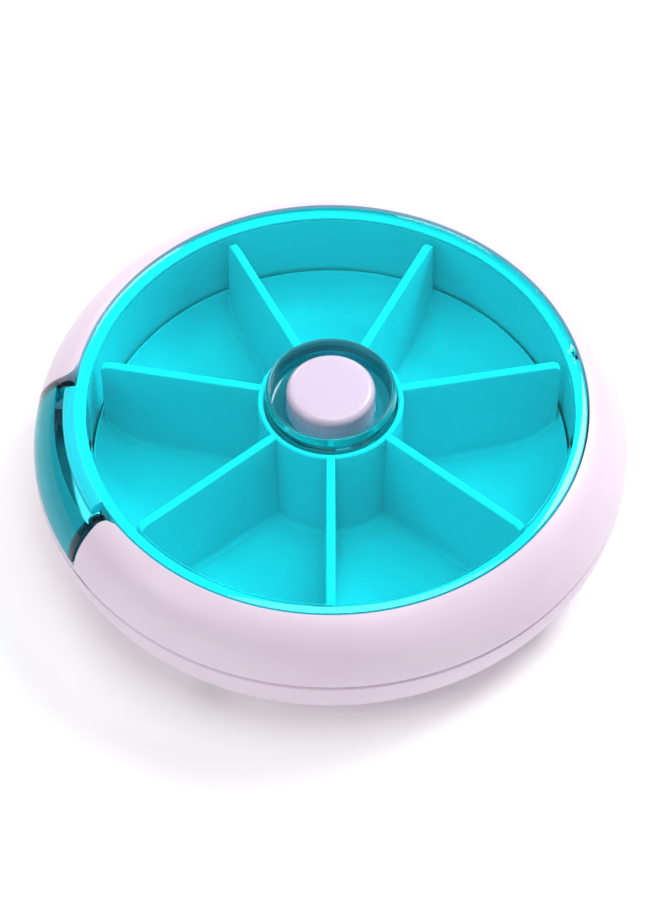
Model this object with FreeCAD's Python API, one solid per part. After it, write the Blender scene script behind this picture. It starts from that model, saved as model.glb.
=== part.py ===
"""Round rotary pill organiser: a ring-shaped body, a clear lid, a seven-compartment tray and an outlet door.

The frame is +Z up, with the origin at the centre of the flat underside. The outlet door faces -Y.
Lengths are millimetres and angles are degrees. Each sub-part is one function, in the order of assembly.
"""
import FreeCAD, Part
import math
import os

# ---- driving dimensions of the body ----
BODY_R = 45.0                # widest radius, at the seam between the shell and the ring
SEAM_Z = 13.0                # height of the seam
SHELL_CORNER_DROP = 1.0      # top of the rounded underside below the seam
SHELL_WALL = 1.5             # wall and floor of the base shell
RING_WALL = 1.8              # wall of the outer ring
RING_WIDTH = 6.6             # widest radius to the edge of the lid disc
LID_EDGE_Z = 22.5            # top of the lid at its edge
LID_THICK = 1.4
LID_SEAT_RIM = 0.1           # how far the seat hangs below the lid plate
LID_DOME = 1.2               # how much higher the lid is at its middle
LID_BEVEL = 0.55
LID_SEAT_IN = 0.4            # how far the seat reaches inside the wall it rests on
LID_NOTCH_W = 1.4            # key notch in the lid's edge, opposite the door
LID_NOTCH_DEPTH = 0.7
RING_LIP_DROP = 0.6          # foot of the ring's inner edge below the lid's seat
RING_LIP_W = 1.2             # width of that foot
TONGUE_RIB_DROP = 1.5        # locating rib of the ring below the seam
TONGUE_RIB_RISE = 0.6        # the same rib above the seam, where it joins the ring
TONGUE_RIB = 0.9

# ---- clearances ----
LID_GAP = 0.25               # lid edge to ring
SEAM_GAP = 0.25              # visible line between the shell and the ring
SEAM_ROUND = 0.25
RUN_FIT = 0.08               # radial running clearance of turning and sliding fits
AXIAL_FIT = 0.1              # end float of turning and sliding pieces
SPIN_GAP = 0.4               # tray rim to fixed wall
DOOR_GAP = 0.3               # door's lower edge to ring
DOOR_SIDE_GAP_DEG = 0.8      # door's ends to ring

# ---- fixed inner wall ----
INNER_WALL_INSET = 0.2       # lid's edge to the outside of the wall round the tray
INNER_WALL = 1.6
WALL_FOOT_Z = 3.2            # ledge of the base shell that the wall stands on
WALL_RIB_H = 3.0             # rib outside the wall that keeps it in place
WALL_RIB = 1.3
LEDGE_INSET = 0.2            # ledge stops short of the wall's bore
WINDOW_SIDE_DEG = 2.9        # end of the door to the side of the outlet window
WINDOW_STEP = 0.3            # window's sill above the tray's rim
WINDOW_LINTEL = 1.8          # wall left above the window
CHUTE_THICK = 1.0
CHUTE_LAND = 0.2             # outer end of the chute floor above the seam
CHUTE_BITE = 0.4             # chute floor's start inside the wall's bore
CHUTE_END_GAP = 0.3

# ---- tray ----
COMPARTMENTS = 7
FIRST_DIVIDER_DEG = 90.0
DIVIDER = 1.3
DIVIDER_END_GAP = 1.1        # divider ends to the fixed wall
DIVIDER_DROP_HUB = 0.4       # divider top below the lid at the hub
DIVIDER_DROP_RIM = 0.8       # divider top below the lid at the rim
DIVIDER_CORNER = 0.8         # cut-off corner at the rim end
TRAY_FLOOR = 1.2
SCOOP_R = 8.5                # curve that lifts the floor to the rim
TRAY_RIM_DROP = 4.0          # top of the scooped rim below the seam
TRAY_RIM_LAND = 0.3          # flat on top of that rim
HUB_WALL = 0.8
HUB_COLLAR_WALL = 0.8
HUB_COLLAR_H = 8.0
NOTCH_INSET = 21.0           # widest radius to the circle of the detent notches
NOTCH_DEPTH = 0.4
NOTCH_WIDTH = 2.4
NOTCH_SIDE = 0.3             # notch beyond the leaf on each side

# ---- centre well of the lid and the button ----
WELL_W = 2.45                # button to the well's wall
WELL_WALL = 0.7
WELL_DROP = 1.7              # well floor below the lid's edge
WELL_FLOOR = 1.0
WELL_BEAD_Z = 1.5            # bead above the lid round the well
WELL_BEAD_W = 0.75
BEAD_LIP = 0.3
BEAD_CREST = 0.4             # bead's crest, as a share of its width
WELL_GAP = 0.3               # well to tray hub
BUTTON_R = 6.65
BUTTON_STAND = 3.1           # button top above the lid's edge
BUTTON_ROUND = 1.1
BUTTON_WALL = 1.2
BUTTON_TOP_WALL = 1.6
BUTTON_TRAVEL = 2.4
BUTTON_FLANGE = 1.1
BUTTON_FLANGE_OUT = 1.1
KEY_WIDTH = 2.0
KEY_OUT = 0.9
KEY_GAP = 0.15
SKIRT_WALL = 1.0
STEM_R = 3.5
STEM_WALL = 0.9

# ---- drive: the button's lugs turn the sleeve through one compartment for each press ----
LUG_R = 0.6
LUG_OUT = 1.0
LUG_ABOVE_END = 1.4          # lug centre above the stem's end
LUG_REST = 0.6               # stem's end above the post's floor at full press
SLOT_GAP = 0.12
SLOT_STEPS = 16
SLOT_REST_STEPS = 4          # straight run above the rest place of the lug
SLOT_REST_STEP = 0.3
SLEEVE_WALL = 1.5
SLEEVE_FLANGE = 1.2
SLEEVE_TO_POST = 0.4         # flange to the bore of the post
PAWL_RING_W = 1.0
PAWL_COUNT = 3
PAWL_ARM = 0.7
PAWL_ARM_DEG = 58.0
PAWL_BITE = 0.3              # root of an arm inside the ring
PAWL_STEPS = 6
PAWL_TIP_GAP = 0.3           # released pawl tip to the ratchet's crests
TOOTH_H = 0.5
TOOTH_BAND = 2.2
TOOTH_SHARE = 0.8            # part of the pitch taken by the slope
TOOTH_STEPS = 4

# ---- centre post ----
POST_TO_HUB = 1.6            # post to the bore of the tray's hub
POST_WALL = 1.3
POST_DROP = 8.7              # post's top below the lid's edge
POST_FLOOR = 1.4
POST_SPIGOT_R = 1.4
POST_SPIGOT_H = 5.0
POST_COLUMN_WALL = 0.7
BOSS_H = 1.6                 # boss on the shell's floor under the post
BOSS_R = 6.0
WASHER_THICK = 0.6
WASHER_W = 4.5
WASHER_GAP = 0.2             # washer to the post

# ---- return spring ----
SPRING_WIRE_R = 0.18
SPRING_TO_BORE = 0.65        # middle of the wire to the bore of the stem
SPRING_TURNS = 9

# ---- outlet door ----
DOOR_HALF_DEG = 19.4
DOOR_WALL = 1.3
DOOR_TOP_OUT = 3.05          # door's upper edge outside the lid disc
DOOR_SILL = 0.9              # ring left under the door, above the seam
TONGUE_OUT = 1.7             # lid's tongue over the door opening, outside the lid disc
TONGUE_SIDE_DEG = 2.8        # end of the door to the side of the tongue
TONGUE_BEVEL = 0.3
TONGUE_LIP = 0.6             # how far the tongue hangs below the lid's seat
GAP_CORNER_R = 2.3           # rounding of the ring's inner corners at the door
END_BLOCK_DEG = 5.0          # solid ends of the ring beside the door
END_HOLLOW_DEG = 2.5         # hollow under the door, past each side of the gap
PIVOT_INSET = 0.4            # pivot inside the outer face of the inner wall
PIVOT_DROP = 2.5             # pivot below the lid's edge
PIN_R = 0.6
PIN_BURY = 2.7               # pin inside the ring's end
PIN_CHAMFER = 0.12
PIN_HOLE_END = 0.05
CHEEK_BOSS_R = 1.25
CHEEK = 1.3
CHEEK_FOOT = 0.8             # cheek's corner below the pivot, as a share of the boss
ARM_REACH = 3.0              # arm from the boss out to the cheek
ARM_H = 1.6

# ---- screws ----
SCREW_DEG = [35.0, 145.0, 218.0, 322.0]
SCREW_INSET = 4.1            # widest radius to the circle of the body screws
SCREW_R = 1.0
SCREW_HEAD_R = 1.9
SCREW_HEAD_H = 1.2
SCREW_LENGTH = 8.0
SCREW_SEAT_Z = 6.0
SCREW_HOLE_GAP = 0.15
SCREW_LAND = 1.6             # shell clamped between a screw's head and the ring's boss
SCREW_BOSS_WALL = 1.2
CENTRE_SCREW_R = 1.2
CENTRE_HEAD_R = 2.3
CENTRE_HEAD_H = 1.3
CENTRE_LENGTH = 6.5
CENTRE_SEAT_Z = 1.7
CROSS_W = 0.5
CROSS_DEPTH = 0.6
CROSS_SHARE = 0.6            # reach of the cross, as a share of the head
HEAD_CHAMFER = 0.35          # chamfer as a share of the head's height
SCREW_TIP_R = 0.2
PILOT_RUN = 0.5              # pilot hole past the screw's tip

# ---- detent leaf ----
LEAF_LENGTH = 12.0
LEAF_WIDTH = 3.4
LEAF_THICK = 0.25
LEAF_DEG = 64.3
LEAF_TAIL = 1.8              # leaf past its stake
LEAF_NOSE = 1.7              # leaf past its crown
LEAF_CROWN_R = 1.4
LEAF_TIP_GAP = 0.15
STAKE_R = 0.8

# ---- worked out from the driving dimensions ----
PITCH = 360.0 / COMPARTMENTS
SHELL_CORNER_R = SEAM_Z - SHELL_CORNER_DROP
SHELL_FLAT_R = BODY_R - SHELL_CORNER_R
LID_R = BODY_R - RING_WIDTH
SCREW_PCR = BODY_R - SCREW_INSET
INNER_WALL_R = LID_R - INNER_WALL_INSET
ARC_Z = SEAM_Z + SEAM_GAP / 2.0
RING_IN_R = LID_R + LID_GAP
RING_RISE = LID_EDGE_Z - ARC_Z
RING_INSET = BODY_R - RING_IN_R
RING_ARC_R = (RING_INSET ** 2 + RING_RISE ** 2) / (2.0 * RING_INSET)
ARC_R0 = BODY_R - RING_ARC_R
LID_SEAT_Z = LID_EDGE_Z - LID_THICK - LID_SEAT_RIM
WALL_BORE_R = INNER_WALL_R - INNER_WALL
WASHER_Z = SHELL_WALL
TRAY_Z = WASHER_Z + WASHER_THICK + AXIAL_FIT
FLOOR_Z = TRAY_Z + TRAY_FLOOR
TRAY_R = WALL_BORE_R - SPIN_GAP
DIVIDER_R = WALL_BORE_R - DIVIDER_END_GAP
TRAY_RIM_Z = SEAM_Z - TRAY_RIM_DROP
CHUTE_LAND_Z = SEAM_Z + CHUTE_LAND
NOTCH_R = BODY_R - NOTCH_INSET
WELL_R = BUTTON_R + WELL_W
WELL_FLOOR_Z = LID_EDGE_Z - WELL_DROP
BUTTON_TOP_Z = LID_EDGE_Z + BUTTON_STAND
HUB_BORE_R = WELL_R + WELL_WALL + WELL_GAP
HUB_R = HUB_BORE_R + HUB_WALL
POST_R = HUB_BORE_R - POST_TO_HUB
POST_TOP_Z = LID_EDGE_Z - POST_DROP
STEM_BORE_R = STEM_R - STEM_WALL
SPRING_MEAN_R = STEM_BORE_R - SPRING_TO_BORE
SLEEVE_FLANGE_R = POST_R - POST_WALL - SLEEVE_TO_POST
SKIRT_BORE_R = BUTTON_R + BUTTON_FLANGE_OUT + KEY_GAP
SKIRT_R = SKIRT_BORE_R + SKIRT_WALL
FLANGE_TOP_Z = WELL_FLOOR_Z - WELL_FLOOR - AXIAL_FIT
SLEEVE_TOP_Z = POST_TOP_Z + AXIAL_FIT + SLEEVE_FLANGE
SKIRT_END_Z = SLEEVE_TOP_Z + AXIAL_FIT
POST_FLOOR_Z = SHELL_WALL + BOSS_H
SLEEVE_FOOT_Z = POST_FLOOR_Z + POST_FLOOR + AXIAL_FIT
SLEEVE_BORE_R = STEM_R + RUN_FIT
SLEEVE_R = SLEEVE_BORE_R + SLEEVE_WALL
SLOT_R = LUG_R + SLOT_GAP
LUG_Z = POST_FLOOR_Z + POST_FLOOR + LUG_REST + BUTTON_TRAVEL + LUG_ABOVE_END
STEM_END_Z = LUG_Z - LUG_ABOVE_END
RATCHET_Z = POST_TOP_Z + AXIAL_FIT + SLEEVE_FLANGE / 2.0
CREST_R = HUB_BORE_R - TOOTH_H
PAWL_TIP_R = CREST_R - PAWL_TIP_GAP
CAP_UNDER_Z = BUTTON_TOP_Z - BUTTON_TOP_WALL
GAP_HALF_DEG = DOOR_HALF_DEG + DOOR_SIDE_GAP_DEG
DOOR_FOOT_Z = ARC_Z + DOOR_SILL + DOOR_GAP
WINDOW_SILL_Z = TRAY_RIM_Z + WINDOW_STEP
WINDOW_HALF_DEG = DOOR_HALF_DEG - WINDOW_SIDE_DEG
TONGUE_HALF_DEG = DOOR_HALF_DEG - TONGUE_SIDE_DEG
TONGUE_R = LID_R + TONGUE_OUT
DOOR_TOP_R = LID_R + DOOR_TOP_OUT
PIVOT_Y = PIVOT_INSET - INNER_WALL_R
PIVOT_Z = LID_EDGE_Z - PIVOT_DROP
DOOR_BOSS_X = -PIVOT_Y * math.tan(math.radians(DOOR_HALF_DEG))
PIN_INNER_X = DOOR_BOSS_X - CHEEK
PIN_END_X = DOOR_BOSS_X + PIN_BURY

Z_AXIS = FreeCAD.Vector(0, 0, 1)
X_AXIS = FreeCAD.Vector(1, 0, 0)
FAR = 200.0


def vec(x, y, z):
    """A point or direction."""
    return FreeCAD.Vector(x, y, z)


def polar(radius, angle, z):
    """The point at a radius and an angle about the Z axis."""
    turn = math.radians(angle)
    return FreeCAD.Vector(radius * math.cos(turn), radius * math.sin(turn), z)


def line(start, end):
    """A straight edge."""
    return Part.LineSegment(start, end).toShape()


def arc(start, middle, end):
    """An arc through three points."""
    return Part.Arc(start, middle, end).toShape()


def face(edges):
    """A face inside a closed run of edges."""
    return Part.Face(Part.Wire(edges))


def outline(points):
    """The face of a closed polygon of (radius, z) points in the XZ plane."""
    corners = [vec(r, 0, z) for r, z in points]
    return Part.Face(Part.makePolygon(corners + corners[:1]))


def turned(section, start=0.0, sweep=360.0):
    """A section in the XZ plane turned about Z from one angle through a sweep."""
    solid = section.revolve(vec(0, 0, 0), Z_AXIS, sweep)
    solid.rotate(vec(0, 0, 0), Z_AXIS, start)
    return solid


def tube(r_out, r_in, z0, z1):
    """A round tube on the Z axis, or a disc where the bore is zero."""
    solid = Part.makeCylinder(r_out, z1 - z0, vec(0, 0, z0))
    if r_in > 0:
        solid = solid.cut(Part.makeCylinder(r_in, z1 - z0 + 2, vec(0, 0, z0 - 1)))
    return solid


def post(radius, z0, z1, at):
    """A vertical cylinder at a point of the plan."""
    return Part.makeCylinder(radius, z1 - z0, vec(at.x, at.y, z0))


def box(x0, x1, y0, y1, z0, z1):
    """A box between two corners."""
    return Part.makeBox(x1 - x0, y1 - y0, z1 - z0, vec(x0, y0, z0))


def spun(shape, angle):
    """A copy turned about the Z axis."""
    copy = shape.copy()
    copy.rotate(vec(0, 0, 0), Z_AXIS, angle)
    return copy


def wedge(half_angle, middle, r_in, r_out, z0, z1):
    """A sector of a ring, centred on an angle."""
    section = outline([(r_in, z0), (r_out, z0), (r_out, z1), (r_in, z1)])
    return turned(section, middle - half_angle, 2 * half_angle)


def ring_arc_z(radius, wall=0.0):
    """Height of the ring's arc, or of the arc one wall further in, at a radius."""
    arc_r = RING_ARC_R - wall
    return ARC_Z + math.sqrt(arc_r ** 2 - (radius - ARC_R0) ** 2)


def ring_arc_point(angle, wall=0.0):
    """Point of the ring's arc at an angle above the seam, one wall further in if asked."""
    turn = math.radians(angle)
    arc_r = RING_ARC_R - wall
    return vec(ARC_R0 + arc_r * math.cos(turn), 0, ARC_Z + arc_r * math.sin(turn))


def lid_top_z(radius):
    """Height of the lid's domed top at a radius."""
    return LID_EDGE_Z + LID_DOME * (1.0 - (radius / LID_R) ** 2)


def screw_places():
    """Plan positions of the body screws."""
    return [polar(SCREW_PCR, angle, 0) for angle in SCREW_DEG]


def base_shell():
    """The lower half of the body: a flat floor with a rounded wall, and the seats of what stands in it."""
    outer_mid = polar_section(SHELL_FLAT_R, SHELL_CORNER_R, SHELL_CORNER_R, -45)
    inner_r = SHELL_CORNER_R - SHELL_WALL
    inner_mid = polar_section(SHELL_FLAT_R, SHELL_CORNER_R, inner_r, -45)
    top = SEAM_Z - SEAM_GAP / 2.0
    rim_in = BODY_R - SHELL_WALL
    edges = [
        line(vec(0, 0, 0), vec(SHELL_FLAT_R, 0, 0)),
        arc(vec(SHELL_FLAT_R, 0, 0), outer_mid, vec(BODY_R, 0, SHELL_CORNER_R)),
        line(vec(BODY_R, 0, SHELL_CORNER_R), vec(BODY_R, 0, top - SEAM_ROUND)),
        line(vec(BODY_R, 0, top - SEAM_ROUND), vec(BODY_R - SEAM_ROUND, 0, top)),
        line(vec(BODY_R - SEAM_ROUND, 0, top), vec(rim_in, 0, top)),
        line(vec(rim_in, 0, top), vec(rim_in, 0, SHELL_CORNER_R)),
        arc(vec(rim_in, 0, SHELL_CORNER_R), inner_mid, vec(SHELL_FLAT_R, 0, SHELL_WALL)),
        line(vec(SHELL_FLAT_R, 0, SHELL_WALL), vec(0, 0, SHELL_WALL)),
        line(vec(0, 0, SHELL_WALL), vec(0, 0, 0)),
    ]
    shell = turned(face(edges))
    envelope = turned(face(edges[:3] + [
        line(vec(BODY_R, 0, top - SEAM_ROUND), vec(0, 0, top - SEAM_ROUND)),
        line(vec(0, 0, top - SEAM_ROUND), vec(0, 0, 0)),
    ]))
    rib_in = INNER_WALL_R + LID_GAP / 2.0
    ledge = tube(rib_in, WALL_BORE_R + LEDGE_INSET, SHELL_WALL / 2.0, WALL_FOOT_Z)
    rib = tube(rib_in + WALL_RIB, rib_in, SHELL_WALL / 2.0, WALL_FOOT_Z + WALL_RIB_H)
    shell = shell.fuse([ledge.common(envelope), rib.common(envelope)])
    shell = shell.fuse(tube(BOSS_R, 0, SHELL_WALL / 2.0, POST_FLOOR_Z))
    outside_rib = tube(FAR, rib_in, 0, SEAM_Z)
    for place in screw_places():
        boss = post(SCREW_HEAD_R + SCREW_BOSS_WALL, SHELL_WALL / 2.0, SCREW_SEAT_Z + SCREW_LAND, place)
        shell = shell.fuse(boss.common(envelope).common(outside_rib))
        shell = shell.cut(post(SCREW_HEAD_R + SCREW_HOLE_GAP, -1, SCREW_SEAT_Z, place))
        shell = shell.cut(post(SCREW_R + SCREW_HOLE_GAP, -1, SEAM_Z, place))
    shell = shell.cut(tube(CENTRE_HEAD_R + SCREW_HOLE_GAP, 0, -1, CENTRE_SEAT_Z))
    shell = shell.cut(tube(CENTRE_SCREW_R + SCREW_HOLE_GAP, 0, -1, POST_FLOOR_Z + 1))
    stake_at = polar(NOTCH_R - LEAF_LENGTH / 2.0, LEAF_DEG, 0)
    shell = shell.fuse(post(STAKE_R, SHELL_WALL / 2.0, SHELL_WALL + LEAF_THICK, stake_at))
    return shell.removeSplitter()


def shell_space(gap):
    """The space inside the base shell, one gap in from its wall and outside the fixed inner wall's rib."""
    reach = SHELL_CORNER_R - SHELL_WALL - gap
    side = vec(SHELL_FLAT_R + reach, 0, SHELL_CORNER_R)
    low_angle = -60.0
    low = polar_section(SHELL_FLAT_R, SHELL_CORNER_R, reach, low_angle)
    inner_r = INNER_WALL_R + gap
    return turned(face([
        arc(low, polar_section(SHELL_FLAT_R, SHELL_CORNER_R, reach, low_angle / 2.0), side),
        line(side, vec(side.x, 0, ARC_Z + 1)),
        line(vec(side.x, 0, ARC_Z + 1), vec(inner_r, 0, ARC_Z + 1)),
        line(vec(inner_r, 0, ARC_Z + 1), vec(inner_r, 0, low.z)),
        line(vec(inner_r, 0, low.z), low),
    ]))


def polar_section(centre_r, centre_z, radius, angle):
    """A point of the XZ plane on a circle about a centre."""
    turn = math.radians(angle)
    return vec(centre_r + radius * math.cos(turn), 0, centre_z + radius * math.sin(turn))


def ring_section(solid):
    """The ring's section: a curved shell, or the whole space under it for its solid ends."""
    top_angle = math.degrees(math.atan2(LID_EDGE_Z - ARC_Z, RING_IN_R - ARC_R0))
    foot = ring_arc_point(math.degrees(math.asin(SEAM_ROUND / RING_ARC_R)))
    outer = arc(foot, ring_arc_point(top_angle / 2.0), vec(RING_IN_R, 0, LID_EDGE_Z))
    low_z = LID_SEAT_Z - RING_LIP_DROP
    start = vec(BODY_R - SEAM_ROUND, 0, ARC_Z)
    if solid:
        return face([
            line(start, foot), outer,
            line(vec(RING_IN_R, 0, LID_EDGE_Z), vec(RING_IN_R, 0, ARC_Z)),
            line(vec(RING_IN_R, 0, ARC_Z), start),
        ])
    inner_r = RING_ARC_R - RING_WALL
    inner_top = vec(RING_IN_R + RING_LIP_W, 0, low_z)
    inner_top_angle = math.degrees(math.asin((low_z - ARC_Z) / inner_r))
    inner_end = ring_arc_point(inner_top_angle, RING_WALL)
    return face([
        line(start, foot), outer,
        line(vec(RING_IN_R, 0, LID_EDGE_Z), vec(RING_IN_R, 0, low_z)),
        line(vec(RING_IN_R, 0, low_z), inner_top),
        line(inner_top, inner_end),
        arc(inner_end, ring_arc_point(inner_top_angle / 2.0, RING_WALL), ring_arc_point(0, RING_WALL)),
        line(ring_arc_point(0, RING_WALL), start),
    ])


def door_gap_tool(z0):
    """Plan of the gap in the ring for the door, with rounded inner corners, standing up from a height."""
    centre_r = RING_IN_R + GAP_CORNER_R
    side = math.degrees(math.asin(GAP_CORNER_R / centre_r))
    tangent_r = math.sqrt(centre_r ** 2 - GAP_CORNER_R ** 2)
    edges = []
    ends = []
    for sign in (1, -1):
        centre = polar(centre_r, -90 + sign * (GAP_HALF_DEG + side), z0)
        on_face = polar(tangent_r, -90 + sign * GAP_HALF_DEG, z0)
        on_bore = polar(RING_IN_R, -90 + sign * (GAP_HALF_DEG + side), z0)
        bulge = (on_face + on_bore) * 0.5 - centre
        middle = centre + bulge.normalize() * GAP_CORNER_R
        outside = polar(BODY_R + 5, -90 + sign * GAP_HALF_DEG, z0)
        inside = polar(RING_IN_R - 4, -90 + sign * (GAP_HALF_DEG + side), z0)
        edges.append([line(inside, on_bore), arc(on_bore, middle, on_face), line(on_face, outside)])
        ends.append((inside, outside))
    loop = edges[0] + [line(ends[0][1], ends[1][1])] + edges[1][::-1] + [line(ends[1][0], ends[0][0])]
    plan = Part.Face(Part.Wire(Part.__sortEdges__(loop)))
    return plan.extrude(vec(0, 0, LID_EDGE_Z + 2 - z0))


def outer_ring():
    """The upper half of the body: a curved ring with a gap for the door and bosses for the body screws."""
    ring = turned(ring_section(False))
    block_half = GAP_HALF_DEG + END_BLOCK_DEG
    ends = turned(ring_section(True), -90 - block_half, 2 * block_half)
    ring = ring.fuse(ends)
    sill = ring_arc_point(0, RING_WALL).x
    hollow_half = GAP_HALF_DEG + END_HOLLOW_DEG
    hollow = wedge(hollow_half, -90, RING_IN_R - 1, sill, ARC_Z - 1, ARC_Z + DOOR_SILL)
    ring = ring.cut(hollow)
    ring = ring.cut(door_gap_tool(ARC_Z + DOOR_SILL))
    rib_r = BODY_R - SHELL_WALL - LID_GAP
    rib = tube(rib_r, rib_r - TONGUE_RIB, SEAM_Z - TONGUE_RIB_DROP, ARC_Z + TONGUE_RIB_RISE)
    ring = ring.fuse(rib)
    inside = turned(ring_section(True))
    below = shell_space(LID_GAP)
    for place in screw_places():
        bar = post(SCREW_R + SCREW_BOSS_WALL, ARC_Z, LID_EDGE_Z, place).common(inside)
        foot = post(SCREW_R + SCREW_BOSS_WALL, SCREW_SEAT_Z + SCREW_LAND, ARC_Z + SEAM_GAP, place)
        ring = ring.fuse([bar, foot.common(below)])
        ring = ring.cut(post(SCREW_R, 0, SCREW_SEAT_Z + SCREW_LENGTH + PILOT_RUN, place))
    for sign in (1, -1):
        hole = Part.makeCylinder(PIN_R, FAR, vec(0, PIVOT_Y, PIVOT_Z), vec(sign, 0, 0))
        reach = PIN_END_X + PIN_HOLE_END
        keep = box(-reach, reach, PIVOT_Y - PIN_R, PIVOT_Y + PIN_R, PIVOT_Z - PIN_R, PIVOT_Z + PIN_R)
        ring = ring.cut(hole.common(keep))
    return ring.removeSplitter()


def inner_wall():
    """The fixed wall round the tray, with the outlet window and the chute floor outside it."""
    wall = tube(INNER_WALL_R, WALL_BORE_R, WALL_FOOT_Z, LID_SEAT_Z)
    window = wedge(WINDOW_HALF_DEG, -90, WALL_BORE_R - 2, INNER_WALL_R + 2, WINDOW_SILL_Z,
                   LID_SEAT_Z - WINDOW_LINTEL)
    wall = wall.cut(window)
    chute_end_r = BODY_R - RING_WALL - TONGUE_RIB - LID_GAP - CHUTE_END_GAP
    chute_start_r = WALL_BORE_R + CHUTE_BITE
    section = outline([
        (chute_start_r, WINDOW_SILL_Z), (chute_start_r, WINDOW_SILL_Z - CHUTE_THICK),
        (INNER_WALL_R, WINDOW_SILL_Z - CHUTE_THICK), (chute_end_r, CHUTE_LAND_Z - CHUTE_THICK),
        (chute_end_r, CHUTE_LAND_Z), (INNER_WALL_R, WINDOW_SILL_Z),
    ])
    chute = turned(section, -90 - WINDOW_HALF_DEG, 2 * WINDOW_HALF_DEG)
    return wall.fuse(chute).removeSplitter()


def lid_section():
    """Half section of the lid: the domed disc with its bevelled edge and seat, the bead, and the well."""
    seat_r = WALL_BORE_R - LID_SEAT_IN
    well_out = WELL_R + WELL_WALL
    bead_r = WELL_R + WELL_BEAD_W
    bead_z = lid_top_z(WELL_R) + WELL_BEAD_Z
    well_foot = WELL_FLOOR_Z - WELL_FLOOR
    guide_r = BUTTON_R + RUN_FIT
    middle_r = (seat_r + well_out) / 2.0
    seat_top = vec(seat_r, 0, lid_top_z(seat_r) - LID_THICK)
    well_top = vec(well_out, 0, lid_top_z(well_out) - LID_THICK)
    crest = vec(WELL_R + WELL_BEAD_W * BEAD_CREST, 0, bead_z)
    bead_foot = vec(bead_r, 0, lid_top_z(bead_r))
    shoulder = vec(LID_R - LID_BEVEL, 0, LID_EDGE_Z)
    shoulder_z = LID_EDGE_Z - LID_BEVEL
    return face([
        line(vec(guide_r, 0, well_foot), vec(guide_r, 0, WELL_FLOOR_Z)),
        line(vec(guide_r, 0, WELL_FLOOR_Z), vec(WELL_R, 0, WELL_FLOOR_Z)),
        line(vec(WELL_R, 0, WELL_FLOOR_Z), vec(WELL_R, 0, bead_z - BEAD_LIP)),
        arc(vec(WELL_R, 0, bead_z - BEAD_LIP), crest, bead_foot),
        arc(bead_foot, vec(middle_r, 0, lid_top_z(middle_r)), shoulder),
        line(shoulder, vec(LID_R, 0, shoulder_z)),
        line(vec(LID_R, 0, shoulder_z), vec(LID_R, 0, LID_SEAT_Z)),
        line(vec(LID_R, 0, LID_SEAT_Z), vec(seat_r, 0, LID_SEAT_Z)),
        line(vec(seat_r, 0, LID_SEAT_Z), seat_top),
        arc(seat_top, vec(middle_r, 0, lid_top_z(middle_r) - LID_THICK), well_top),
        line(well_top, vec(well_out, 0, well_foot)),
        line(vec(well_out, 0, well_foot), vec(guide_r, 0, well_foot)),
    ])


def lid():
    """The clear lid: a shallow dome with a tongue over the door opening and a well round the button."""
    disc = turned(lid_section())
    tongue_in = LID_R - 2 * LID_BEVEL
    tongue_top_r = TONGUE_R - TONGUE_BEVEL
    lip_z = LID_SEAT_Z - TONGUE_LIP
    lip_r = INNER_WALL_R + LID_GAP
    slope_mid = (LID_R + tongue_top_r) / 2.0
    tip_top = vec(tongue_top_r, 0, ring_arc_z(tongue_top_r))
    tongue_section = face([
        line(vec(tongue_in, 0, LID_SEAT_Z), vec(lip_r, 0, LID_SEAT_Z)),
        line(vec(lip_r, 0, LID_SEAT_Z), vec(lip_r, 0, lip_z)),
        line(vec(lip_r, 0, lip_z), vec(TONGUE_R, 0, lip_z)),
        line(vec(TONGUE_R, 0, lip_z), vec(TONGUE_R, 0, ring_arc_z(TONGUE_R) - TONGUE_BEVEL)),
        line(vec(TONGUE_R, 0, ring_arc_z(TONGUE_R) - TONGUE_BEVEL), tip_top),
        arc(tip_top, vec(slope_mid, 0, ring_arc_z(slope_mid)), vec(LID_R, 0, ring_arc_z(LID_R))),
        line(vec(LID_R, 0, ring_arc_z(LID_R)), vec(tongue_in, 0, LID_EDGE_Z)),
        line(vec(tongue_in, 0, LID_EDGE_Z), vec(tongue_in, 0, LID_SEAT_Z)),
    ])
    disc = disc.fuse(turned(tongue_section, -90 - TONGUE_HALF_DEG, 2 * TONGUE_HALF_DEG))
    well_foot = WELL_FLOOR_Z - WELL_FLOOR
    skirt = tube(SKIRT_R, SKIRT_BORE_R, SKIRT_END_Z, well_foot + WELL_FLOOR / 2.0)
    half = KEY_WIDTH / 2.0 + KEY_GAP
    skirt = skirt.cut(box(-FAR, FAR, -half, half, SKIRT_END_Z - 1, well_foot))
    disc = disc.fuse(skirt)
    side = LID_NOTCH_W / 2.0
    notch = box(-side, side, LID_R - LID_NOTCH_DEPTH, FAR, LID_SEAT_Z - 1, FAR)
    return disc.cut(notch)


def divider_blank():
    """One divider with a sloping top, standing on the tray floor and reaching from the hub to the rim."""
    top_hub = lid_top_z(HUB_R) - LID_THICK - DIVIDER_DROP_HUB
    top_rim = lid_top_z(DIVIDER_R) - LID_THICK - DIVIDER_DROP_RIM
    inner = HUB_BORE_R + HUB_WALL / 2.0
    side = Part.makePolygon([
        vec(inner, 0, TRAY_Z), vec(DIVIDER_R, 0, TRAY_Z), vec(DIVIDER_R, 0, top_rim - DIVIDER_CORNER),
        vec(DIVIDER_R - DIVIDER_CORNER, 0, top_rim), vec(inner, 0, top_hub), vec(inner, 0, TRAY_Z),
    ])
    solid = Part.Face(side).extrude(vec(0, DIVIDER, 0))
    solid.translate(vec(0, -DIVIDER / 2.0, 0))
    return solid


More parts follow.
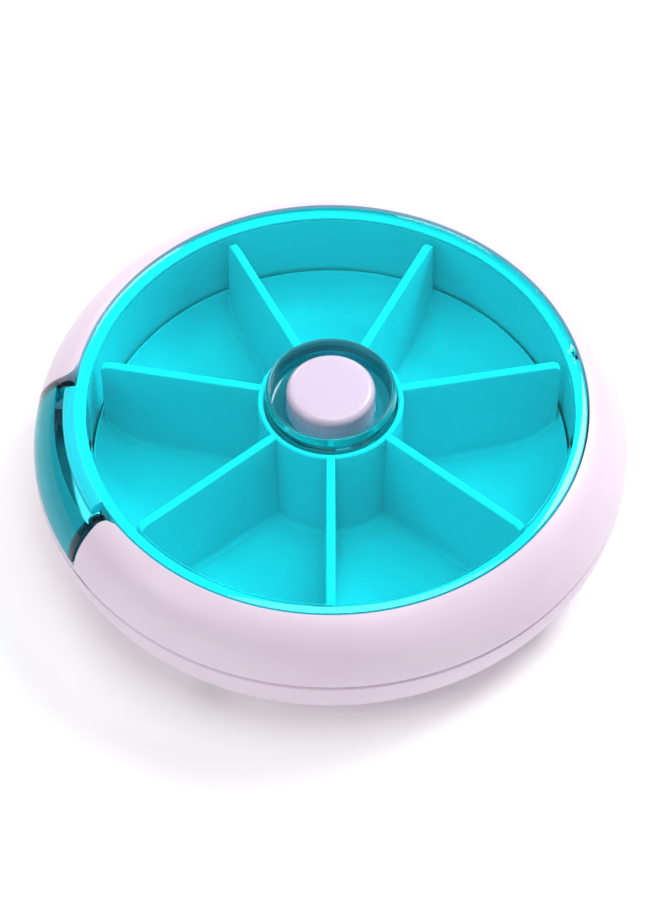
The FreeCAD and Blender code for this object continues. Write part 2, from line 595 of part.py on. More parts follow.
def pill_tray():
    """The turning tray: a floor that scoops up to its rim, a hub with ratchet teeth, and seven dividers."""
    rise = TRAY_RIM_Z - FLOOR_Z
    reach = math.sqrt(2.0 * SCOOP_R * rise - rise ** 2)
    start_r = TRAY_R - TRAY_RIM_LAND - reach
    centre_z = FLOOR_Z + SCOOP_R
    end_angle = math.degrees(math.acos((SCOOP_R - rise) / SCOOP_R)) - 90.0
    under_r = SCOOP_R + TRAY_FLOOR
    under_end = TRAY_R - start_r
    under_angle = math.degrees(math.asin(under_end / under_r)) - 90.0
    top_end = polar_section(start_r, centre_z, SCOOP_R, end_angle)
    under_stop = polar_section(start_r, centre_z, under_r, under_angle)
    under_arc = arc(under_stop, polar_section(start_r, centre_z, under_r, (under_angle - 90.0) / 2.0),
                    vec(start_r, 0, TRAY_Z))
    scoop_mid = polar_section(start_r, centre_z, SCOOP_R, (end_angle - 90.0) / 2.0)
    bore_r = POST_R + RUN_FIT
    bowl = turned(face([
        line(vec(bore_r, 0, FLOOR_Z), vec(start_r, 0, FLOOR_Z)),
        arc(vec(start_r, 0, FLOOR_Z), scoop_mid, top_end),
        line(top_end, vec(TRAY_R, 0, top_end.z)),
        line(vec(TRAY_R, 0, top_end.z), under_stop),
        under_arc,
        line(vec(start_r, 0, TRAY_Z), vec(bore_r, 0, TRAY_Z)),
        line(vec(bore_r, 0, TRAY_Z), vec(bore_r, 0, FLOOR_Z)),
    ]))
    under_fill = turned(face([
        line(vec(start_r, 0, TRAY_Z - 1), vec(FAR, 0, TRAY_Z - 1)),
        line(vec(FAR, 0, TRAY_Z - 1), vec(FAR, 0, top_end.z)),
        line(vec(FAR, 0, top_end.z), vec(TRAY_R, 0, top_end.z)),
        line(vec(TRAY_R, 0, top_end.z), under_stop),
        under_arc,
        line(vec(start_r, 0, TRAY_Z), vec(start_r, 0, TRAY_Z - 1)),
    ]))
    hub_top = lid_top_z(HUB_R) - LID_THICK - DIVIDER_DROP_HUB
    hub = tube(HUB_R, HUB_BORE_R, TRAY_Z, hub_top)
    collar = tube(bore_r + HUB_COLLAR_WALL, bore_r, TRAY_Z, TRAY_Z + HUB_COLLAR_H)
    blank = divider_blank().cut(under_fill)
    angles = [FIRST_DIVIDER_DEG + k * PITCH for k in range(COMPARTMENTS)]
    tray = bowl.fuse([hub, collar] + [spun(blank, angle) for angle in angles])
    tray = tray.fuse([spun(ratchet_tooth(), angle) for angle in angles])
    notch_from = vec(NOTCH_R - LEAF_WIDTH / 2.0 - NOTCH_SIDE, 0, 0)
    notch = Part.makeCylinder(NOTCH_WIDTH / 2.0, LEAF_WIDTH + 2 * NOTCH_SIDE, notch_from, X_AXIS)
    notch.translate(vec(0, 0, TRAY_Z + NOTCH_DEPTH - NOTCH_WIDTH / 2.0))
    return tray.cut([spun(notch, LEAF_DEG + k * PITCH) for k in range(COMPARTMENTS)]).removeSplitter()


def ratchet_tooth():
    """One saw tooth inside the hub: a steep face and a long slope that fades into the wall."""
    root = HUB_BORE_R + HUB_WALL / 2.0
    sweep = PITCH * TOOTH_SHARE
    foot_z = RATCHET_Z - TOOTH_BAND / 2.0
    shares = [k / TOOTH_STEPS for k in range(TOOTH_STEPS + 1)]
    slope = [polar(CREST_R + TOOTH_H * share, sweep * share, foot_z) for share in shares]
    back = [polar(root, sweep * share, foot_z) for share in shares[::-1]]
    plan = Part.Face(Part.makePolygon(slope + back + slope[:1]))
    return plan.extrude(vec(0, 0, TOOTH_BAND))


def push_button():
    """The button: a rounded cap, a keyed flange that the lid holds down, and a stem with two drive lugs."""
    flange_foot = FLANGE_TOP_Z - BUTTON_FLANGE
    cap = tube(BUTTON_R, 0, flange_foot, BUTTON_TOP_Z)
    rim = [edge for edge in cap.Edges if abs(edge.BoundBox.ZMin - BUTTON_TOP_Z) < 1e-6 and edge.Closed]
    cap = cap.makeFillet(BUTTON_ROUND, rim)
    cap = cap.cut(tube(BUTTON_R - BUTTON_WALL, 0, flange_foot - 1, CAP_UNDER_Z))
    flange_in = BUTTON_R - BUTTON_WALL / 2.0
    flange = tube(BUTTON_R + BUTTON_FLANGE_OUT, flange_in, flange_foot, FLANGE_TOP_Z)
    key_r = SKIRT_BORE_R + KEY_OUT
    keys = box(-key_r, key_r, -KEY_WIDTH / 2.0, KEY_WIDTH / 2.0, flange_foot, FLANGE_TOP_Z)
    keys = keys.cut(tube(BUTTON_R + BUTTON_FLANGE_OUT / 2.0, 0, flange_foot - 1, FLANGE_TOP_Z + 1))
    stem = Part.makeCylinder(STEM_R, CAP_UNDER_Z + BUTTON_WALL / 2.0 - STEM_END_Z, vec(0, 0, STEM_END_Z))
    lug_reach = STEM_R + LUG_OUT
    stem = stem.fuse(Part.makeCylinder(LUG_R, 2 * lug_reach, vec(-lug_reach, 0, LUG_Z), X_AXIS))
    stem = stem.cut(tube(STEM_BORE_R, 0, STEM_END_Z - 1, CAP_UNDER_Z))
    return cap.fuse([flange, keys, stem])


def slot_cutter():
    """The two helical slots of the sleeve, as a run of short overlapping steps along the lug's path."""
    pieces = []
    reach = SLEEVE_R + 1.0
    for k in range(SLOT_STEPS + 1):
        share = k / SLOT_STEPS
        bar = Part.makeCylinder(SLOT_R, 2 * reach, vec(-reach, 0, LUG_Z - BUTTON_TRAVEL * share), X_AXIS)
        pieces.append(spun(bar, PITCH * share))
    for k in range(1, SLOT_REST_STEPS + 1):
        bar = Part.makeCylinder(SLOT_R, 2 * reach, vec(-reach, 0, LUG_Z + SLOT_REST_STEP * k), X_AXIS)
        pieces.append(bar)
    return pieces[0].fuse(pieces[1:])


def drive_sleeve():
    """The sleeve round the stem: helical slots turn it as the lugs go down, and its flange holds the pawls."""
    body = tube(SLEEVE_R, SLEEVE_BORE_R, SLEEVE_FOOT_Z, SLEEVE_TOP_Z)
    flange = tube(SLEEVE_FLANGE_R, SLEEVE_BORE_R, SLEEVE_TOP_Z - SLEEVE_FLANGE, SLEEVE_TOP_Z)
    return body.fuse(flange).cut(slot_cutter()).removeSplitter()


def pawl_ring():
    """The ring pressed on the sleeve's flange, with curved arms that end in pawl tips."""
    z0 = SLEEVE_TOP_Z - SLEEVE_FLANGE
    ring = tube(SLEEVE_FLANGE_R + PAWL_RING_W, SLEEVE_FLANGE_R, z0, SLEEVE_TOP_Z)
    arms = []
    inner = SLEEVE_FLANGE_R + PAWL_RING_W
    root = inner - PAWL_BITE
    for k in range(PAWL_COUNT):
        outer_run = []
        inner_run = []
        for s in range(PAWL_STEPS + 1):
            angle = k * 360.0 / PAWL_COUNT + PAWL_ARM_DEG * s / PAWL_STEPS
            radius = root + (PAWL_TIP_R - root) * s / PAWL_STEPS
            outer_run.append(polar(radius, angle, z0))
            inner_run.append(polar(radius - PAWL_ARM, angle, z0))
        loop = outer_run + inner_run[::-1] + outer_run[:1]
        arms.append(Part.Face(Part.makePolygon(loop)).extrude(vec(0, 0, SLEEVE_FLANGE)))
    clear = tube(SLEEVE_FLANGE_R, 0, z0 - 1, SLEEVE_TOP_Z + 1)
    return ring.fuse(arms).cut(clear).removeSplitter()


def centre_post():
    """The post on the shell's floor: the tray turns on its outside, and the sleeve and spring stand in it."""
    wall = tube(POST_R, POST_R - POST_WALL, SHELL_WALL, POST_TOP_Z)
    floor = tube(POST_R, 0, POST_FLOOR_Z, POST_FLOOR_Z + POST_FLOOR)
    spigot = tube(POST_SPIGOT_R, 0, POST_FLOOR_Z, POST_FLOOR_Z + POST_FLOOR + POST_SPIGOT_H)
    pilot = tube(CENTRE_SCREW_R, 0, POST_FLOOR_Z - 1, CENTRE_SEAT_Z + CENTRE_LENGTH + PILOT_RUN)
    column = tube(CENTRE_SCREW_R + POST_COLUMN_WALL, 0, POST_FLOOR_Z, POST_FLOOR_Z + POST_FLOOR)
    return wall.fuse([floor, spigot, column]).cut(pilot).removeSplitter()


def screw(radius, head_r, head_h, length, seat_z):
    """A pan-head screw driven upwards: the head below its seat, a cross recess and a pointed shank above."""
    shank = tube(radius, 0, seat_z, seat_z + length - radius)
    tip = Part.makeCone(radius, SCREW_TIP_R, radius, vec(0, 0, seat_z + length - radius))
    head = tube(head_r, 0, seat_z - head_h, seat_z)
    rim = [edge for edge in head.Edges if edge.Closed and abs(edge.BoundBox.ZMax - (seat_z - head_h)) < 1e-6]
    head = head.makeChamfer(head_h * HEAD_CHAMFER, rim)
    cross_z = seat_z - head_h
    arm = head_r * CROSS_SHARE
    cross = box(-arm, arm, -CROSS_W / 2.0, CROSS_W / 2.0, cross_z - 1, cross_z + CROSS_DEPTH)
    cross = cross.fuse(box(-CROSS_W / 2.0, CROSS_W / 2.0, -arm, arm, cross_z - 1, cross_z + CROSS_DEPTH))
    return head.fuse([shank, tip]).cut(cross).removeSplitter()


def body_screw(place):
    """A screw that holds the ring down on the shell."""
    solid = screw(SCREW_R, SCREW_HEAD_R, SCREW_HEAD_H, SCREW_LENGTH, SCREW_SEAT_Z)
    solid.translate(vec(place.x, place.y, 0))
    return solid


def slip_washer():
    """The thin washer that the tray turns on."""
    inner = POST_R + WASHER_GAP
    return tube(inner + WASHER_W, inner, WASHER_Z, WASHER_Z + WASHER_THICK)


def detent_spring():
    """The leaf under the tray, staked at one end, with a crowned tip below the ring of notches."""
    z0 = SHELL_WALL
    half = LEAF_WIDTH / 2.0
    stake_r = NOTCH_R - LEAF_LENGTH / 2.0
    leaf = box(stake_r - LEAF_TAIL, NOTCH_R + LEAF_NOSE, -half, half, z0, z0 + LEAF_THICK)
    crown_z = TRAY_Z - LEAF_TIP_GAP - LEAF_CROWN_R
    crown = Part.makeCylinder(LEAF_CROWN_R, LEAF_WIDTH, vec(NOTCH_R - half, 0, crown_z), X_AXIS)
    crown = crown.common(box(0, FAR, -FAR, FAR, z0 + LEAF_THICK / 2.0, FAR))
    leaf = leaf.fuse(crown)
    leaf = leaf.cut(tube(STAKE_R, 0, 0, z0 + LEAF_THICK + 1).translated(vec(stake_r, 0, 0)))
    return spun(leaf, LEAF_DEG).removeSplitter()


def button_spring():
    """The return spring in the stem: a coil with a closed turn at each end."""
    foot = POST_FLOOR_Z + POST_FLOOR
    length = CAP_UNDER_Z - foot
    rise = length - 2 * SPRING_WIRE_R
    helix = Part.makeHelix(rise / SPRING_TURNS, rise, SPRING_MEAN_R)
    profile = Part.Wire(Part.makeCircle(SPRING_WIRE_R, vec(SPRING_MEAN_R, 0, 0), vec(0, 1, 0)))
    coil = Part.Wire(helix).makePipeShell([profile], True, True)
    coil.translate(vec(0, 0, foot + SPRING_WIRE_R))
    return coil


def outlet_door():
    """The clear flap: a curved shell in line with the ring, with cheeks at its ends that turn on the pins."""
    foot_angle = math.degrees(math.asin((DOOR_FOOT_Z - ARC_Z) / RING_ARC_R))
    top_angle = math.degrees(math.acos((DOOR_TOP_R - ARC_R0) / RING_ARC_R))
    foot_in_angle = math.degrees(math.asin((DOOR_FOOT_Z - ARC_Z) / (RING_ARC_R - DOOR_WALL)))
    top_in_angle = math.degrees(math.acos((DOOR_TOP_R - ARC_R0) / (RING_ARC_R - DOOR_WALL)))
    foot_out = ring_arc_point(foot_angle)
    foot_in = ring_arc_point(foot_in_angle, DOOR_WALL)
    top_out = ring_arc_point(top_angle)
    top_in = ring_arc_point(top_in_angle, DOOR_WALL)
    outer = arc(foot_out, ring_arc_point((foot_angle + top_angle) / 2.0), top_out)
    inner = arc(top_in, ring_arc_point((foot_in_angle + top_in_angle) / 2.0, DOOR_WALL), foot_in)
    section = face([outer, line(top_out, top_in), inner, line(foot_in, foot_out)])
    door = turned(section, -90 - DOOR_HALF_DEG, 2 * DOOR_HALF_DEG)
    cheek_in_r = -PIVOT_Y / math.cos(math.radians(DOOR_HALF_DEG))
    cheek_top = vec(DOOR_TOP_R, 0, PIVOT_Z)
    cheek_in = vec(cheek_in_r, 0, PIVOT_Z - CHEEK_BOSS_R * CHEEK_FOOT)
    cheek_foot = vec(foot_in.x, 0, DOOR_FOOT_Z)
    cheek_section = face([
        outer, line(top_out, cheek_top), line(cheek_top, cheek_in), line(cheek_in, cheek_foot),
        line(cheek_foot, foot_out),
    ])
    cheek_deg = math.degrees(CHEEK / BODY_R)
    cheek = turned(cheek_section, -90 - DOOR_HALF_DEG, cheek_deg)
    pieces = [cheek, spun(cheek, 2 * DOOR_HALF_DEG - cheek_deg), door_boss(-1), door_boss(1)]
    holes = Part.makeCylinder(PIN_R + RUN_FIT, 2 * FAR, vec(-FAR, PIVOT_Y, PIVOT_Z), X_AXIS)
    return door.fuse(pieces).cut(holes).removeSplitter()


def door_boss(sign):
    """The pivot boss at one end of the door, with the arm that joins it to the cheek."""
    inside = sign * (DOOR_BOSS_X - CHEEK)
    boss = Part.makeCylinder(CHEEK_BOSS_R, CHEEK, vec(inside, PIVOT_Y, PIVOT_Z), vec(sign, 0, 0))
    low_x = min(inside, sign * DOOR_BOSS_X)
    half = ARM_H / 2.0
    arm = box(low_x, low_x + CHEEK, PIVOT_Y - ARM_REACH, PIVOT_Y, PIVOT_Z - half, PIVOT_Z + half)
    room = wedge(DOOR_HALF_DEG, -90, RING_IN_R, BODY_R, PIVOT_Z - ARM_H, PIVOT_Z + ARM_H)
    return boss.fuse(arm.common(room))


def door_pin(sign):
    """A steel pin pressed into the ring's end, on which one cheek of the door turns."""
    start = vec(sign * PIN_INNER_X, PIVOT_Y, PIVOT_Z)
    pin = Part.makeCylinder(PIN_R, PIN_END_X - PIN_INNER_X, start, vec(sign, 0, 0))
    return pin.makeChamfer(PIN_CHAMFER, [edge for edge in pin.Edges if edge.Closed])


def build():
    """Make every sub-part and write one STEP file for each."""
    shapes = {
        "base_shell": base_shell(),
        "outer_ring": outer_ring(),
        "inner_wall": inner_wall(),
        "lid": lid(),
        "pill_tray": pill_tray(),
        "outlet_door": outlet_door(),
        "door_pin_left": door_pin(-1),
        "door_pin_right": door_pin(1),
        "push_button": push_button(),
        "button_spring": button_spring(),
        "drive_sleeve": drive_sleeve(),
        "pawl_ring": pawl_ring(),
        "centre_post": centre_post(),
        "centre_screw": screw(CENTRE_SCREW_R, CENTRE_HEAD_R, CENTRE_HEAD_H, CENTRE_LENGTH, CENTRE_SEAT_Z),
        "slip_washer": slip_washer(),
        "detent_spring": detent_spring(),
    }
    for number, place in enumerate(screw_places(), start=1):
        shapes["body_screw_%d" % number] = body_screw(place)
    os.makedirs("parts", exist_ok=True)
    for name, shape in shapes.items():
        shape.exportStep("parts/%s.step" % name)
        print(name, "solids", len(shape.Solids), "valid", shape.isValid(), "mm3", round(shape.Volume, 2))


build()
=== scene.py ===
"""Looks of a round rotary pill organiser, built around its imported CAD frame.

Sizes are millimetres until a point is placed, where they become metres. Angles are degrees. The frame is
+Z up, with the origin at the centre of the flat underside and the outlet door facing -Y.
"""

import logging
import math
from dataclasses import dataclass, field
from enum import Enum
from typing import Callable, Sequence

import bmesh
import bpy
from mathutils import Matrix, Vector

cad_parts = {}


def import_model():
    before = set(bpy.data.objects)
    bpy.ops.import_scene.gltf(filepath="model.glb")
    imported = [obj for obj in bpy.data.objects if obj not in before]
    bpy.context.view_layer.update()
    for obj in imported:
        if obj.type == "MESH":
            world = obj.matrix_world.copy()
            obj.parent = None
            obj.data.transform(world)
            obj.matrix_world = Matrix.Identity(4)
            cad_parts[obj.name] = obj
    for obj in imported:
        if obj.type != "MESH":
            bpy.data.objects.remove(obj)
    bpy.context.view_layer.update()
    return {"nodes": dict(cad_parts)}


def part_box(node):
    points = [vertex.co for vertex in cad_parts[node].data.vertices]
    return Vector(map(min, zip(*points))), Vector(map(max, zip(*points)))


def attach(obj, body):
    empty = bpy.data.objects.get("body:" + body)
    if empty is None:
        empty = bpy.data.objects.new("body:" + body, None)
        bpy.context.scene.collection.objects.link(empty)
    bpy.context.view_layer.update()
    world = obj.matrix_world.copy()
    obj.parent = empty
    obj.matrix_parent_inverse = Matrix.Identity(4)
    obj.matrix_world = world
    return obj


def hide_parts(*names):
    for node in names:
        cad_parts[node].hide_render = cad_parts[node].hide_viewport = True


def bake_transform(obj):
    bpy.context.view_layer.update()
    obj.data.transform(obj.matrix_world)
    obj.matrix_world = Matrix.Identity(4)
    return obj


MM = 0.001
FULL_TURN = 360.0
COMPARTMENTS = 7
PITCH = FULL_TURN / COMPARTMENTS
DOOR_SIDE = -90.0
CLOSE = 0.01        # two sizes or angles nearer than this count as the same
MERGE = 1e-7        # metres within which corners are one
LOW_STOP = 0.3      # where a noise's ramp starts and ends, because its values crowd round the middle
HIGH_STOP = 0.7
LOG = logging.getLogger("pill_organiser")
Point = tuple[float, float]


class Body(str, Enum):
    """The frame's bodies that new pieces ride on."""

    HOUSING = "housing"
    TRAY = "tray"
    BUTTON = "button"
    DOOR = "door"


# ---------------------------------------------------------------- colour and nodes


def linear(code: str) -> tuple[float, float, float, float]:
    """Turn an sRGB hex colour into linear values.

    Args:
        code: six hex digits with a leading hash.

    Returns:
        Red, green, blue and an alpha of 1.
    """
    values = [int(code[i:i + 2], 16) / 255.0 for i in (1, 3, 5)]
    out = [v / 12.92 if v <= 0.04045 else ((v + 0.055) / 1.055) ** 2.4 for v in values]
    return (out[0], out[1], out[2], 1.0)


def add_node(tree: bpy.types.NodeTree, kind: str, inputs: dict | None = None,
             **settings: object) -> bpy.types.Node:
    """Add a node with its settings, values and links.

    Args:
        tree: the node tree.
        kind: the node's type name.
        inputs: socket name or number to a value, or to an output socket that is linked to it.
        settings: attributes of the node itself.

    Returns:
        The new node.
    """
    node = tree.nodes.new(kind)
    for name, value in settings.items():
        setattr(node, name, value)
    for key, value in (inputs or {}).items():
        socket = node.inputs[key]
        if isinstance(value, bpy.types.NodeSocket):
            tree.links.new(value, socket)
        else:
            socket.default_value = value
    return node


def new_tree(name: str) -> tuple[bpy.types.Material, bpy.types.NodeTree]:
    """Make an empty node material.

    Args:
        name: the material's name.

    Returns:
        The material and its node tree.
    """
    material = bpy.data.materials.new(name)
    material.use_nodes = True
    material.node_tree.nodes.clear()
    return material, material.node_tree


def ramp_colours(node: bpy.types.Node, stops: Sequence[tuple[float, tuple]]) -> None:
    """Set the stops of a colour ramp.

    Args:
        node: a colour ramp node.
        stops: position and colour of each stop, two or more.
    """
    elements = node.color_ramp.elements
    while len(elements) < len(stops):
        elements.new(1.0)
    for element, (place, colour) in zip(elements, stops):
        element.position = place
        element.color = colour


def plan_radius(tree: bpy.types.NodeTree, split: bpy.types.Node) -> bpy.types.NodeSocket:
    """Return the distance from the Z axis, from a node that splits the coordinates."""
    flat = add_node(tree, "ShaderNodeCombineXYZ", {0: split.outputs[0], 1: split.outputs[1]})
    return add_node(tree, "ShaderNodeVectorMath", {0: flat.outputs[0]}, operation="LENGTH").outputs["Value"]


def soft_step(tree: bpy.types.NodeTree, value: bpy.types.NodeSocket, start: float,
              end: float) -> bpy.types.NodeSocket:
    """Return a value that goes smoothly from 0 at the start to 1 at the end."""
    step = add_node(tree, "ShaderNodeMapRange", {"Value": value, "From Min": start, "From Max": end},
                    interpolation_type="SMOOTHSTEP")
    return step.outputs["Result"]


# ---------------------------------------------------------------- finishes


@dataclass(frozen=True)
class Zone:
    """A stretch of a part with a colour of its own or with painted shade, and for a clear part with a
    cloudiness of its own.

    It lies beyond a distance from the Z axis, or beyond an angle from the door's middle. The span holds
    where it starts and where it is at its full strength, in millimetres or in degrees.
    """

    colour: str
    span: tuple[float, float]
    cloudy: float = 0.0
    by_turn: bool = False

    def mask(self, tree: bpy.types.NodeTree, coords: bpy.types.NodeSocket) -> bpy.types.NodeSocket:
        """Return 1 inside the zone and 0 outside it.

        Args:
            tree: the material's node tree.
            coords: the object's coordinates.
        """
        split = add_node(tree, "ShaderNodeSeparateXYZ", {0: coords})
        if not self.by_turn:
            return soft_step(tree, plan_radius(tree, split), self.span[0] * MM, self.span[1] * MM)
        back = add_node(tree, "ShaderNodeMath", {0: split.outputs[1], 1: -1.0}, operation="MULTIPLY")
        turn = add_node(tree, "ShaderNodeMath", {0: split.outputs[0], 1: back.outputs[0]},
                        operation="ARCTAN2")
        size = add_node(tree, "ShaderNodeMath", {0: turn.outputs[0]}, operation="ABSOLUTE").outputs[0]
        return soft_step(tree, size, math.radians(self.span[0]), math.radians(self.span[1]))

    def tone(self, tree: bpy.types.NodeTree, mask: bpy.types.NodeSocket,
             colour: bpy.types.NodeSocket) -> bpy.types.NodeSocket:
        """Lay the zone's colour over another colour.

        Args:
            tree: the material's node tree.
            mask: the zone's mask.
            colour: the colour outside the zone.

        Returns:
            The colour of both.
        """
        return add_node(tree, "ShaderNodeMix", {0: mask, 6: colour, 7: linear(self.colour)},
                        data_type="RGBA").outputs[2]


@dataclass(frozen=True)
class MouldedPlastic:
    """An opaque moulded plastic, with soft flow clouds and the fine grain of a spark-eroded mould."""

    name: str
    base: str
    cloud: str
    roughness: float = 0.38
    roughness_swing: float = 0.06
    cloud_mm: float = 26.0
    cloud_stops: tuple[float, float] = (0.32, 0.68)
    grain_mm: float = 0.55
    grain_height_mm: float = 0.012
    sheen_depth_mm: float = 1.0
    scatter: float = 0.12
    ior: float = 1.54
    # painted shade: a dark colour laid over the resin beyond a radius, standing in for the shade of a cavity
    painted_shade: Zone | None = None

    def build(self) -> bpy.types.Material:
        """Build the material and return it."""
        material, tree = new_tree(self.name)
        coords = add_node(tree, "ShaderNodeTexCoord").outputs["Object"]
        clouds = add_node(tree, "ShaderNodeTexNoise", {"Vector": coords, "Scale": 1.0 / (self.cloud_mm * MM),
                                                       "Detail": 3.0, "Roughness": 0.55})
        tint = add_node(tree, "ShaderNodeValToRGB", {"Fac": clouds.outputs["Fac"]})
        ramp_colours(tint, list(zip(self.cloud_stops, (linear(self.cloud), linear(self.base)))))
        grain = add_node(tree, "ShaderNodeTexNoise", {"Vector": coords, "Scale": 1.0 / (self.grain_mm * MM),
                                                      "Detail": 2.0, "Roughness": 0.6})
        rough = add_node(tree, "ShaderNodeMapRange", {
            "Value": grain.outputs["Fac"], "From Min": LOW_STOP, "From Max": HIGH_STOP,
            "To Min": self.roughness - self.roughness_swing, "To Max": self.roughness + self.roughness_swing})
        bump = add_node(tree, "ShaderNodeBump", {"Height": grain.outputs["Fac"], "Strength": 0.5,
                                                 "Distance": self.grain_height_mm * MM})
        colour = tint.outputs["Color"]
        # painted shade: the zone's dark colour replaces the resin's own colour where the part lies in shade
        if self.painted_shade:
            colour = self.painted_shade.tone(tree, self.painted_shade.mask(tree, coords), colour)
        shader = add_node(tree, "ShaderNodeBsdfPrincipled", {
            "Base Color": colour, "Roughness": rough.outputs["Result"], "IOR": self.ior,
            "Subsurface Weight": self.scatter, "Subsurface Radius": (1.0, 0.8, 0.9),
            "Subsurface Scale": self.sheen_depth_mm * MM, "Normal": bump.outputs["Normal"]})
        add_node(tree, "ShaderNodeOutputMaterial", {"Surface": shader.outputs["BSDF"]})
        return material


@dataclass(frozen=True)
class ClearPlastic:
    """A clear tinted plastic, polished, with slow waves. Lamps shine tinted through it."""

    name: str
    tint: str
    shade: str
    roughness: float = 0.03
    wave_mm: float = 9.0
    wave_height_mm: float = 0.02
    wave_gain: float = 1.03
    ior: float = 1.45
    gloss: float = 0.5
    cloudy: float = 0.0
    zones: tuple[Zone, ...] = ()

    def build(self) -> bpy.types.Material:
        """Build the material and return it."""
        material, tree = new_tree(self.name)
        coords = add_node(tree, "ShaderNodeTexCoord").outputs["Object"]
        waves = add_node(tree, "ShaderNodeTexNoise", {"Vector": coords, "Scale": 1.0 / (self.wave_mm * MM),
                                                      "Detail": 1.0})
        bump = add_node(tree, "ShaderNodeBump", {"Height": waves.outputs["Fac"], "Strength": 0.35,
                                                 "Distance": self.wave_height_mm * MM})
        tone = add_node(tree, "ShaderNodeValToRGB", {"Fac": waves.outputs["Fac"]})
        tint = linear(self.tint)
        ramp_colours(tone, [(LOW_STOP, tint), (HIGH_STOP, tuple(min(1.0, self.wave_gain * v) for v in tint))])
        colour = tone.outputs["Color"]
        clear: float | bpy.types.NodeSocket = 1.0 - self.cloudy
        for zone in self.zones:
            mask = zone.mask(tree, coords)
            colour = zone.tone(tree, mask, colour)
            clear = add_node(tree, "ShaderNodeMix", {0: mask, 2: clear, 3: 1.0 - zone.cloudy}).outputs[0]
        glass = add_node(tree, "ShaderNodeBsdfPrincipled", {
            "Base Color": colour, "Roughness": self.roughness, "IOR": self.ior,
            "Specular IOR Level": self.gloss, "Transmission Weight": clear, "Normal": bump.outputs["Normal"]})
        shade = add_node(tree, "ShaderNodeBsdfTransparent", {"Color": linear(self.shade)})
        path = add_node(tree, "ShaderNodeLightPath")
        both = add_node(tree, "ShaderNodeMixShader", {
            0: path.outputs["Is Shadow Ray"], 1: glass.outputs["BSDF"], 2: shade.outputs["BSDF"]})
        add_node(tree, "ShaderNodeOutputMaterial", {"Surface": both.outputs["Shader"]})
        return material


@dataclass(frozen=True)
class WorkedSteel:
    """Steel wire, pin or screw: bright metal with drawing streaks along one axis and small dull patches."""

    name: str
    base: str
    dull: str
    roughness: float = 0.3
    streak_mm: float = 0.12
    streak_length: float = 14.0
    streak_depth_mm: float = 0.01
    smoother: float = 0.08
    rougher: float = 0.1

    def build(self) -> bpy.types.Material:
        """Build the material and return it."""
        material, tree = new_tree(self.name)
        coords = add_node(tree, "ShaderNodeTexCoord").outputs["Object"]
        along = add_node(tree, "ShaderNodeMapping", {"Vector": coords,
                                                     "Scale": (1.0, 1.0, 1.0 / self.streak_length)})
        streaks = add_node(tree, "ShaderNodeTexNoise", {"Vector": along.outputs["Vector"],
                                                        "Scale": 1.0 / (self.streak_mm * MM), "Detail": 2.0})
        tone = add_node(tree, "ShaderNodeValToRGB", {"Fac": streaks.outputs["Fac"]})
        ramp_colours(tone, [(LOW_STOP, linear(self.dull)), (HIGH_STOP, linear(self.base))])
        rough = add_node(tree, "ShaderNodeMapRange", {
            "Value": streaks.outputs["Fac"], "To Min": self.roughness - self.smoother,
            "To Max": self.roughness + self.rougher})
        bump = add_node(tree, "ShaderNodeBump", {"Height": streaks.outputs["Fac"], "Strength": 0.3,
                                                 "Distance": self.streak_depth_mm * MM})
        shader = add_node(tree, "ShaderNodeBsdfPrincipled", {
            "Base Color": tone.outputs["Color"], "Metallic": 1.0, "Roughness": rough.outputs["Result"],
            "Normal": bump.outputs["Normal"]})
        add_node(tree, "ShaderNodeOutputMaterial", {"Surface": shader.outputs["BSDF"]})
        return material


class Finish(Enum):
    """Every finish of the object, with the maker's choice of colour."""

    # pale pink ABS from a lightly spark-eroded mould: a soft, wide highlight
    SHELL = MouldedPlastic("moulded_pink_abs", base="#f3e2f2", cloud="#edd9ec", roughness=0.34)
    # the same resin polished by fingers: a tighter highlight
    BUTTON = MouldedPlastic("moulded_pink_abs_button", base="#e2d5ec", cloud="#dccee8", roughness=0.28,
                            grain_height_mm=0.006)
    # aqua polypropylene: waxy and slightly translucent, which lifts its shaded faces
    TRAY = MouldedPlastic("moulded_aqua_polypropylene", base="#83ced8", cloud="#7cc9d3", roughness=0.42,
                          scatter=0.15, sheen_depth_mm=2.0, ior=1.49)
    # the same resin, with painted shade on its outside beyond 39.2 mm, so that the chute behind the door
    # reads dark
    WALL = MouldedPlastic("moulded_aqua_polypropylene_wall", base="#86d0d9", cloud="#7fcbd4", roughness=0.36,
                          scatter=0.15, sheen_depth_mm=2.0, ior=1.49, painted_shade=Zone("#1c4d58", (39.2, 39.8)))
    # clear teal polystyrene: sharp reflections and a strong even tint, with painted shade in the well round
    # the button, where the tint is darker and partly cloudy, and cloudy at the edge, where the wall is looked
    # through along its length
    LID = ClearPlastic("clear_teal_polystyrene_lid", tint="#4efcff", shade="#c8fefe", zones=(
        # painted shade: the darker, partly cloudy tint in the well round the button
        Zone("#2d9fac", (9.75, 9.45), cloudy=0.5), Zone("#2fe6f4", (38.0, 38.4), cloudy=0.75)))
    # the same resin, dimmer and milky, with painted shade darkening its ends nearly to black
    DOOR = ClearPlastic("clear_teal_polystyrene_door", tint="#20bccb", shade="#86cdd6", gloss=0.05,
                        # painted shade: the nearly black ends, from 17.4 degrees off the door's middle
                        cloudy=0.6, zones=(Zone("#1d3f49", (17.4, 18.2), by_turn=True),))
    # acetal: smooth, slippery and off-white
    ACETAL = MouldedPlastic("moulded_acetal", base="#ecebe4", cloud="#e4e3da", roughness=0.3, ior=1.48)
    # drawn spring steel: bright, with fine lines along the wire
    SPRING = WorkedSteel("drawn_spring_steel", base="#c9cacc", dull="#9b9c9f", roughness=0.28)
    # zinc plate on turned steel: paler and more even
    ZINC = WorkedSteel("zinc_plated_steel", base="#d6d8db", dull="#aeb1b6", roughness=0.34)


